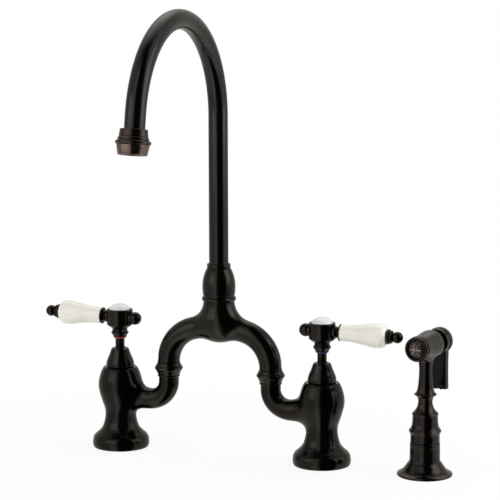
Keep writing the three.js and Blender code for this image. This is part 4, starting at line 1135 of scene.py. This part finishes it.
# A hexagon grid of little rimmed holes on the aerator's face.
def makePerforations(sizes=aerator["holes"]):
    grower = Grower("perforations", sizes)
    count, pitch = grower["Count"], grower["Pitch"]
    grid = {0: pitch * (count - 1), 1: pitch * rowShare * (count - 1), 2: count, 3: count}
    spots = grower.node("GeometryNodeMeshGrid", None, grid)
    offset = grower.vector(grower.index().math("MODULO", 2) * pitch * 0.5)
    spots = grower.node("GeometryNodeSetPosition", None, {"Geometry": spots, "Offset": offset})
    away = grower.measure("LENGTH", grower.node("GeometryNodeInputPosition"))
    outside = grower.node("FunctionNodeCompare", {"operation": "GREATER_THAN"}, {0: away, 1: grower["Reach"]})
    inputs = {"Geometry": spots, "Selection": outside}
    kept = grower.node("GeometryNodeDeleteGeometry", {"domain": "POINT"}, inputs)
    rim = grower.tube(grower.circle(10, grower["Hole"]), grower.circle(5, grower["Rim"]))
    return grower.grow(grower.spread(kept, rim), darkNylon)


def makeOutlet(size=bell, inner=aerator):
    place = outletPlace()
    x, z, radius = size["bead"]
    bead = arc((x, z), radius, -size["beadSpan"], size["beadSpan"], 14)
    outline = rounded(size["outside"]) + bead + rounded(size["cup"] + size["mouth"])
    finished("bell_mouth", "outlet_bell", turned(outline, count=112), bellBronze, place)
    housing = turned(rounded(inner["housing"]), count=80)
    finished("aerator_shell", "aerator_housing", housing, steel, place)
    low, high, reach = inner["plateLow"], inner["plateHigh"], inner["plateRadius"]
    plate = turned(rounded([(0, high), (reach, high, 0.2), (reach, low, 0.3), (0, low)]), count=72)
    rims = makePerforations()
    rims.transform(shift(z=low))
    finished("aerator_face", "aerator_screen", joined(plate, rims), darkNylon, place)


makeOutlet()
print("outlet made")

# Sprayer's deck holder.
holder = {
    "foot": [(9.65, 0), (24.6, 0, 0.3), (25.1, 0.6, 0.4), (25.1, 1.7, 0.5), (24.7, 2.3, 0.3), (24.0, 2.5)],
    "slope": [
        (24.0, 2.5), (22.6, 3.2), (20.9, 4.4), (19.2, 6.1), (17.7, 8.1), (16.4, 10.0), (15.3, 11.5),
        (14.4, 12.6), (13.9, 14.2), (13.75, 17), (13.7, 21), (13.65, 25.8),
    ],
    "lip": [(13.65, 25.8), (13.4, 26.0, 0.1), (13.35, 26.4, 0.15), (13.6, 26.9, 0.4), (13.75, 28.4, 1.4)],
    "mouth": [(13.5, 30.0, 0.6), (13.0, 30.5, 0.3), (10.95, 30.5), (10.95, 2.3), (9.65, 2.3)],
    "liner": [(9.65, 2.6), (10.65, 2.6), (10.65, 30.0, 0.2), (10.4, 30.2, 0.1), (9.65, 30.2)],
}


def makeHolder(size=holder):
    outline = rounded(size["foot"]) + flowing(size["slope"])[1:]
    outline += rounded(size["lip"] + size["mouth"])[1:]
    finished("deck_holder", "spray_holder", turned(outline, count=112), sprayBronze, holderStand)
    sleeve = turned(rounded(size["liner"]), count=80)
    finished("holder_sleeve", "spray_holder_liner", sleeve, nylon, holderStand)


makeHolder()

# Sprayer's handle.
sprayHandle = {
    "skirt": [(7.3, 30.8), (12.9, 30.8, 0.3), (13.3, 31.2, 0.3), (13.2, 36.4, 0.8), (13.4, 38.0, 1.2)],
    "ridge": [(14.3, 40.2, 0.8), (14.8, 41.2, 0.4), (13.6, 42.8, 0.8), (12.6, 44.4, 1.5), (12.0, 46.6, 2)],
    "grip": [(11.7, 49.0, 3), (11.5, 52, 3), (11.5, 55.2, 0.6), (11.9, 56.0, 0.3), (12.0, 56.6, 0.3)],
    "cove": [
        (11.5, 57.4), (10.4, 58.5), (9.3, 59.8), (8.3, 61.2), (7.45, 62.9), (6.85, 64.8), (6.5, 66.8),
        (6.5, 68.4), (6.8, 70.2), (7.5, 71.8), (8.8, 73.2), (10.0, 74.1),
    ],
    "bead": (10.35, 74.5, 0.2),
    "neck": [
        (9.5, 75.0), (8.3, 76.6), (7.5, 78.6), (7.0, 81.2), (6.65, 84), (6.3, 88), (6.0, 93), (5.95, 97),
        (6.1, 100.5), (6.5, 103.8),
    ],
    "spigot": [(4.9, 103.8), (4.9, 110.2), (4.6, 110.5), (3.2, 110.5), (3.2, 43.2), (7.3, 40.1)],
}


def makeSprayHandle(size=sprayHandle):
    cove, neck = size["cove"], size["neck"]
    outline = rounded([*size["skirt"], *size["ridge"], *size["grip"], cove[0]])
    outline += flowing(cove)[1:] + rounded([cove[-1], size["bead"], neck[0]])[1:]
    outline += flowing(neck)[1:] + size["spigot"]
    finished("spray_grip", "spray_handle", turned(outline), sprayBronze, handStand)


makeSprayHandle()

# Sprayer's head: the barrel and its boss flow into each other, the bead and rear neck are turned.
sprayHead = {
    "barrel": [
        (10.75, 22), (10.8, 13.4), (11.1, 9), (11.7, 4), (12.3, -1), (12.75, -5.5), (12.9, -9.0),
        (12.6, -11.2), (11.9, -12.4), (11.0, -12.9), (10.8, -16), (10.8, -22),
    ],
    "boss": 6.6,
    "bossFoot": -14.8,
    "fillet": 4.5,
    "front": 13.9,
    "rear": -12.5,
    "spacing": 0.7,
    "bead": [
        (8.2, 13.6), (10.7, 13.6, 0.1), (10.9, 14.0, 0.2), (11.5, 14.5, 0.6), (11.5, 16.2, 0.6),
        (11.0, 16.8, 0.2), (10.6, 17.0, 0.1), (8.2, 17.0),
    ],
    "rearNeck": [(5.3, -12.4), (5.3, -22.7), (5.6, -23.0), (6.7, -23.0), (7.0, -22.7), (7.0, -12.4)],
    "roughBoss": (6.6, 0, 20),
    "roughEnds": (-18, 20),
    "bossDrop": 40,
    # Radius, foot and top of the hollows, and the boss's cone-ended socket.
    "chamber": (8.0, 4, 20),
    "throat": (2.1, -13, 5),
    "socket": [(0, 0), (5.2, 7.8), (5.2, 20), (0, 20)],
    # The hinge lug: width, radius, rise above the axis, place behind the face, foot.
    "lug": (5.0, 2.2, 7.4, 24.6, 5.6),
    "lugRoot": 2,
    "bossTrim": 0.3,
}


def lugMesh(size=sprayHead):
    width, radius, rise, back, foot = size["lug"]
    start = back - radius - size["lugRoot"]
    profile = [(start, foot), (back, foot), *arc((back, rise), radius, 0, 90, 6), (start, rise + radius)]
    mesh = blank()
    ends = [[mesh.verts.new((side * width / 2, y, -z)) for z, y in profile] for side in (-1, 1)]
    skin(mesh, [ends], len(profile))
    for end in ends:
        mesh.faces.new(end)
    return facedOut(mesh)


def makeSprayHead(size=sprayHead):
    line = np.array(sorted(flowing([(z, r) for r, z in reversed(size["barrel"])], 8)))

    # Local Z is the head's axis, forwards, and local -Y is down.
    def surface(points):
        x, y, z = points.T
        barrel = np.hypot(x, y) - np.interp(z, line[:, 0], line[:, 1])
        drop = np.clip(y, -size["bossDrop"], 0)
        boss = np.sqrt(x**2 + z**2 + (y - drop) ** 2) - size["boss"]
        return fillet(barrel, boss, size["fillet"])

    down = spin(quarter, "X")
    low, high = size["roughEnds"]
    barrel = [(r, z) for r, z in size["barrel"] if low < z < high]
    barrel = turned([(0, high), *barrel, (0, low)], count=40)
    boss = turned(rod(*size["roughBoss"]), down, 32)
    mesh = drawnOnto(joined(barrel, boss), surface, size["spacing"])
    mesh = trimmed(mesh, (0, 0, size["front"]), (0, 0, 1))
    mesh = trimmed(mesh, (0, 0, size["rear"]), (0, 0, -1))
    mesh = trimmed(mesh, (0, size["bossFoot"] + size["bossTrim"], 0), (0, -1, 0))
    chamber = turned(rod(*size["chamber"]), count=48)
    throat = turned(rod(*size["throat"]), count=24)
    mesh = cut(mesh, turned(size["socket"], down, 32), chamber, throat)
    whole = joined(mesh, turned(rounded(size["bead"])), turned(size["rearNeck"], count=64), lugMesh())
    finished("spray_barrel", "spray_head", whole, barrelBronze, headStand)


makeSprayHead()

# Face ring and spray face, with a star of raised rays between the jets.
sprayFace = {
    "ring": [
        (9.2, 17.3), (10.4, 17.3, 0.2), (11.1, 18.0, 0.5), (11.1, 20.6, 0.6), (10.2, 21.5, 0.4),
        (9.1, 21.4, 0.3), (8.6, 20.8, 0.2), (8.5, 20.3), (9.2, 20.3),
    ],
    "plate": [(0, 18.4), (8.85, 18.4), (8.85, 19.7, 0.2)],
    "face": 19.8,
    "bulge": 2.9,
    "bulgeReach": 8.6,
    "star": {
        "Rays": 8,
        "Inner": 0.7,
        "Outer": 5.9,
        "RayWidth": 0.68,
        "JetRing": 4.4,
        "Jet": 0.6,
        "JetWire": 0.16,
    },
    "taper": 0.35,
    "sink": 0.1,
}


def makeStar(size=sprayFace):
    grower = Grower("spray_star", size["star"])
    rays, step = grower["Rays"], 2 * math.pi / grower["Rays"]
    ends = {"Start": grower.vector(grower["Inner"]), "End": grower.vector(grower["Outer"])}
    spine = grower.node("GeometryNodeCurvePrimitiveLine", None, ends)
    spine = grower.node("GeometryNodeResampleCurve", None, {"Curve": spine, "Count": 6})
    thinner = 1 - grower.node("GeometryNodeSplineParameter") * size["taper"]
    spine = grower.node("GeometryNodeSetCurveRadius", None, {"Curve": spine, "Radius": thinner})
    ray = grower.tube(spine, grower.circle(8, grower["RayWidth"]), True)
    turn = grower.vector(z=grower.index() * step)
    star = grower.spread(grower.spots(grower.circle(rays, 0.01)), ray, Rotation=turn)
    jet = grower.tube(grower.circle(12, grower["Jet"]), grower.circle(6, grower["JetWire"]))
    inputs = {"Geometry": grower.circle(rays, grower["JetRing"]), "Rotation": grower.vector(z=step * 0.5)}
    jets = grower.spread(grower.spots(grower.node("GeometryNodeTransform", None, inputs)), jet)
    both = grower.node("GeometryNodeJoinGeometry", None, {"Geometry": star})
    grower.tree.links.new(jets.socket, both.socket.node.inputs[0])
    return grower.grow(both, starBronze)


def makeSprayFace(size=sprayFace):
    finished("face_bezel", "spray_face_ring", turned(rounded(size["ring"])), sprayBronze, headStand)
    reach, face, bulge = size["bulgeReach"], size["face"], size["bulge"]
    dome = [(reach * (1 - k / 12), face + bulge * (1 - (1 - k / 12) ** 2)) for k in range(13)]
    finished("jet_plate", "spray_face", turned(rounded(size["plate"]) + dome), darkNylon, headStand)
    star = makeStar()
    for vert in star.verts:
        away = math.hypot(vert.co.x, vert.co.y) / reach
        vert.co.z += face + bulge * (1 - away**2) - size["sink"]
    finished("jet_star", "spray_face", star, starBronze, headStand, replaces=False)


makeSprayFace()

# Trigger: a stepped cap behind the head, with a flanged paddle down its back.
trigger = {
    "cap": [
        (0, -28.0), (10.3, -28.0), (10.3, -22.0), (11.2, -22.0, 0.2), (11.5, -22.4, 0.2), (11.5, -26.8, 0.2),
        (11.75, -27.1, 0.2), (12.2, -27.6, 0.3), (12.2, -31.6, 0.5), (11.6, -32.3, 0.4), (10.6, -32.5, 0.2),
        (10.3, -32.3, 0.15), (9.2, -32.3, 0.2), (8.8, -32.75, 0.3), (7.2, -33.0, 0.3), (6.8, -32.7, 0.2),
        (4.2, -32.7, 0.3), (0, -32.9),
    ],
    "width": 15.6,
    "web": 1.6,
    "flange": 6.4,
    "flangeWidth": 1.8,
    "top": -6.0,
    "bottom": -44.2,
    "back": -33.1,
    "wave": 0.5,
    "waveTurns": 8,
    "stepLength": 0.8,
    "waveFrom": 0.93,
    "waist": 0.03,
    "bow": 0.3,
    "rings": 44,
    # The hinge pin's hole: radius, place behind the face, rise above the axis.
    "pinHole": (1.35, 24.6, 7.4),
    "pinHoleEnd": 14,
    "pinRadius": 1.2,
    "pinInset": 0.3,
    "capRadius": 12.2,
}


# The paddle's outline across its width: a thin web facing the handle between two deeper flanges.
def paddleSection(size):
    half, web, deep, lip = size["width"] / 2, size["web"], size["flange"], size["flangeWidth"]
    corners = [
        (-half, 0, 0.6), (-half + lip, 0, 0.5), (-half + lip, deep - web, 0.5), (half - lip, deep - web, 0.5),
        (half - lip, 0, 0.5), (half, 0, 0.6), (half, deep, 0.7), (-half, deep, 0.7),
    ]
    start = (0, deep)
    line = rounded([start, corners[-1], *corners[:-1], start], 3)
    dense = []
    for a, b in zip(line, line[1:]):
        steps = max(1, round(math.dist(a, b) / size["stepLength"]))
        dense += [(a[0] + (b[0] - a[0]) * k / steps, a[1] + (b[1] - a[1]) * k / steps) for k in range(steps)]
    return dense


def paddleMesh(size=trigger):
    mesh = blank()
    section = paddleSection(size)
    half, down, top = size["width"] / 2, size["rings"], size["top"]
    rings = []
    for j in range(down + 1):
        share = j / down
        swell = math.sin(share * math.pi)
        lip = size["wave"] * eased(share, size["waveFrom"], 1.0)
        height = top + (size["bottom"] - top) * share
        ring = []
        for across, deep in section:
            x = across * (1 - size["waist"] * swell)
            y = height + lip * math.cos(across / half * size["waveTurns"])
            ring.append(mesh.verts.new((x, y, size["back"] + deep + size["bow"] * swell)))
        rings.append(ring)
    skin(mesh, zip(rings, rings[1:]), len(section))
    for ring in (rings[0], rings[-1]):
        mesh.faces.new(ring)
    bmesh.ops.triangulate(mesh, faces=[f for f in mesh.faces if len(f.verts) > 4])
    return facedOut(mesh)


def makeTrigger(size=trigger):
    radius, back, rise = size["pinHole"]
    crossways = shift(0, rise, -back) @ spin(quarter, "Y")
    hole = turned(rod(radius, -size["pinHoleEnd"], size["pinHoleEnd"]), crossways, 24)
    cap = cut(turned(rounded(size["cap"])), hole)
    finished("trigger_cap", "trigger", cap, capBronze, headStand)
    finished("trigger_paddle", "trigger", paddleMesh(), paddleBronze, headStand, replaces=False)
    thick = size["pinRadius"]
    end = math.sqrt(size["capRadius"] ** 2 - (rise + thick) ** 2) - size["pinInset"]
    pin = turned(rounded([(0, -end), (thick, -end, 0.2), (thick, end, 0.2), (0, end)]), crossways, 32)
    finished("hinge_pin", "trigger_pin", pin, blackenedSteel, headStand)


makeTrigger()

# The trigger's return spring, a coil set on its rear seat.
returnSpring = {"Turns": 5.0, "Coil": 3.4, "Wire": 0.45, "Length": 6.77}
springSeat = {"rear": -20.52, "front": -13.3, "travel": 1.6}


def makeSpring(size=returnSpring, seat=springSeat):
    grower = Grower("return_spring", size)
    coil = grower["Coil"]
    inputs = {"Resolution": 28, "Rotations": grower["Turns"], "Start Radius": coil, "End Radius": coil}
    line = grower.node("GeometryNodeCurveSpiral", None, {**inputs, "Height": grower["Length"]})
    mesh = facedOut(grower.grow(grower.tube(line, grower.circle(10, grower["Wire"]), True), steel))
    place = headStand @ shift(z=seat["rear"])
    spring = finished("return_spring", "valve_spring", mesh, steel, place)
    along = jointAxis("plunger_slide")
    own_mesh(spring)


makeSpring()
print("sprayer made")

# Carried-over nodes keep their shape and get their finish.
innerFinishes = {
    "rubber": rubber,
    "brass": brass,
    "steel": steel,
    "ceramic_disc": ceramic,
    "nylon": nylon,
    "dark_nylon": darkNylon,
    "bronze": turnedBronze,
    "porcelain": porcelain,
    "red_ring": redRing,
    "blue_ring": blueRing,
}
for name, thing in frame["nodes"].items():
    for placeholder in thing.material_slots:
        placeholder.material = innerFinishes[slotOf[name]]


# Floor, lamps and camera.
studio = {
    "floor": "f4f4f2",
    "floorSize": 0.75,
    "shadowShare": 0.12,
    "shadowEdge": (0.25, 0.5),
    "fill": 0.69,
    # What polished metal sees beyond the lamps: pale walls at the sides and back, a dark front with a
    # pale stripe at its left, a brighter table below, and a pale sky at the back.
    "darkFrom": -14,
    "darkTo": 58,
    "edge": 5,
    "wallLeft": 0.58,
    "wallRight": 0.88,
    "wallBack": 0.6,
    "rightFade": (98, 138),
    "stripe": (-31, 4, 15, 0.4),
    "table": (-0.7, -0.3, 0.45),
    "high": (0.8, 0.97),
    "dim": 0.03,
    "backWay": (0.5, 0.866),
    "backEdge": (0.8, 1.0),
    "backGlow": 1.5,
    "lampShift": 0.02,
    "lamps": [
        # name, turn round the object in degrees, distance, width, foot, top, brightness, seen in metal
        ("left", -84, 0.8, 2.3, 0.14, 0.6, 0.7, False),
        ("right", 96, 0.8, 1.8, 0.16, 0.95, 1.25, False),
        ("left_strip", -58, 0.8, 0.6, 0.17, 0.7, 0.9, True),
        ("right_strip", 80, 0.8, 0.5, 0.185, 0.95, 1.4, True),
    ],
}
eye = {
    "place": (0.705575, -1.705644, 0.4873),
    "target": (0.007232, 0.086556, 0.19587),
    "roll": -0.13,
    "lens": 152.18,
    "sensor": 36,
    "clip": (0.05, 20),
    "turn": 21.27,
}


def raysThatSee(board):
    node = board.node("ShaderNodeLightPath").socket.node
    rays = ("Camera", "Transmission", "Glossy")
    seen, through, shine = [Signal(board, node.outputs[f"Is {ray} Ray"]) for ray in rays]
    return (seen + through).clamp(), shine


def makeFloor(size=studio):
    material = bpy.data.materials.new("pale_floor")
    material.use_nodes = True
    material.node_tree.nodes.clear()
    board = Board(material.node_tree)
    seen, shine = raysThatSee(board)
    away = board.measure("LENGTH", board.position())
    share = size["shadowShare"] * (1 - board.smoothStep(away, *size["shadowEdge"]))
    glow = board.node("ShaderNodeEmission", None, {"Color": (1, 1, 1, 1), "Strength": 1.0})
    paint = board.node("ShaderNodeBsdfDiffuse", None, {"Color": colour(size["floor"])})
    mixed = board.node("ShaderNodeMixShader", None, {0: seen * (1 - share), 1: paint, 2: glow})
    # Polished metal sees the studio's own walls below the floor's level too.
    clear = board.node("ShaderNodeBsdfTransparent")
    mixed = board.node("ShaderNodeMixShader", None, {0: shine, 1: mixed, 2: clear})
    board.node("ShaderNodeOutputMaterial", None, {"Surface": mixed})
    mesh = bmesh.new()
    bmesh.ops.create_circle(mesh, cap_ends=True, segments=64, radius=size["floorSize"])
    floor = linked("floor", baked("floor", mesh))
    floor.data.materials.append(material)


def makeWorld(size=studio, view=eye):
    world = bpy.data.worlds.new("studio")
    bpy.context.scene.world = world
    world.use_nodes = True
    world.cycles.sampling_method = "NONE"  # an even sky needs no map of its bright places
    world.node_tree.nodes.clear()
    board = Board(world.node_tree)
    seen, shine = raysThatSee(board)
    way = board.node("ShaderNodeTexCoord")
    turn = math.radians(view["turn"])
    x, y = math.sin(turn), math.cos(turn)
    back, up = size["backWay"]
    ahead = board.measure("DOT_PRODUCT", way, (x, -y, 0))
    aside = board.measure("DOT_PRODUCT", way, (y, x, 0))
    high = board.measure("DOT_PRODUCT", way, (-x * back, y * back, up))
    lift = board.node("ShaderNodeSeparateXYZ", None, {0: way}, 2)
    angle = aside.math("ARCTAN2", ahead) * (180 / math.pi)
    edge = size["edge"]
    left = 1 - board.smoothStep(angle, size["darkFrom"] - edge, size["darkFrom"] + edge)
    right = board.smoothStep(angle, size["darkTo"] - edge, size["darkTo"] + edge)
    fade = board.smoothStep(angle, *size["rightFade"])
    rightWall = size["wallRight"] - fade * (size["wallRight"] - size["wallBack"])
    walls = left * size["wallLeft"] + right * rightWall
    middle, inner, outer, stripe = size["stripe"]
    walls = walls + (1 - board.smoothStep((angle - middle).math("ABSOLUTE"), inner, outer)) * stripe
    low, level, table = size["table"]
    walls = walls * (1 + (1 - board.smoothStep(lift, low, level)) * table)
    walls = walls * (1 - board.smoothStep(lift, *size["high"]))
    glow = size["dim"] + walls + board.smoothStep(high, *size["backEdge"]) * size["backGlow"]
    strength = seen + shine * glow + (1 - seen) * (1 - shine) * size["fill"]
    sky = board.node("ShaderNodeBackground", None, {"Color": (1, 1, 1, 1), "Strength": strength})
    board.node("ShaderNodeOutputWorld", None, {"Surface": sky})


def makeLamps(size=studio, view=eye):
    for name, turn, distance, width, foot, top, brightness, inMetal in size["lamps"]:
        angle = math.radians(view["turn"] + turn)
        away = Vector((math.sin(angle), -math.cos(angle), 0))
        lamp = bpy.data.lights.new(f"lamp_{name}", "AREA")
        lamp.shape = "RECTANGLE"
        lamp.size, lamp.size_y = width, top - foot
        lamp.energy = brightness * math.pi * width * (top - foot)
        stand = linked(lamp.name, lamp)
        stand.location = away * distance + Vector((0, size["lampShift"], (foot + top) / 2))
        stand.rotation_euler = away.to_track_quat("Z", "Y").to_euler()
        stand.visible_glossy = inMetal


def makeCamera(size=eye):
    data = bpy.data.cameras.new("camera")
    data.lens = size["lens"]
    data.sensor_width = size["sensor"]
    data.clip_start, data.clip_end = size["clip"]
    ahead = Vector(size["target"]) - Vector(size["place"])
    aim = ahead.to_track_quat("-Z", "Y").to_matrix().to_4x4()
    camera = linked("camera", data)
    camera.matrix_world = shift(*size["place"]) @ aim @ spin(math.radians(size["roll"]), "Z")
    bpy.context.scene.camera = camera


makeFloor()
makeWorld()
makeLamps()
makeCamera()
bpy.context.scene.view_settings.view_transform = "Standard"
print("studio ready")
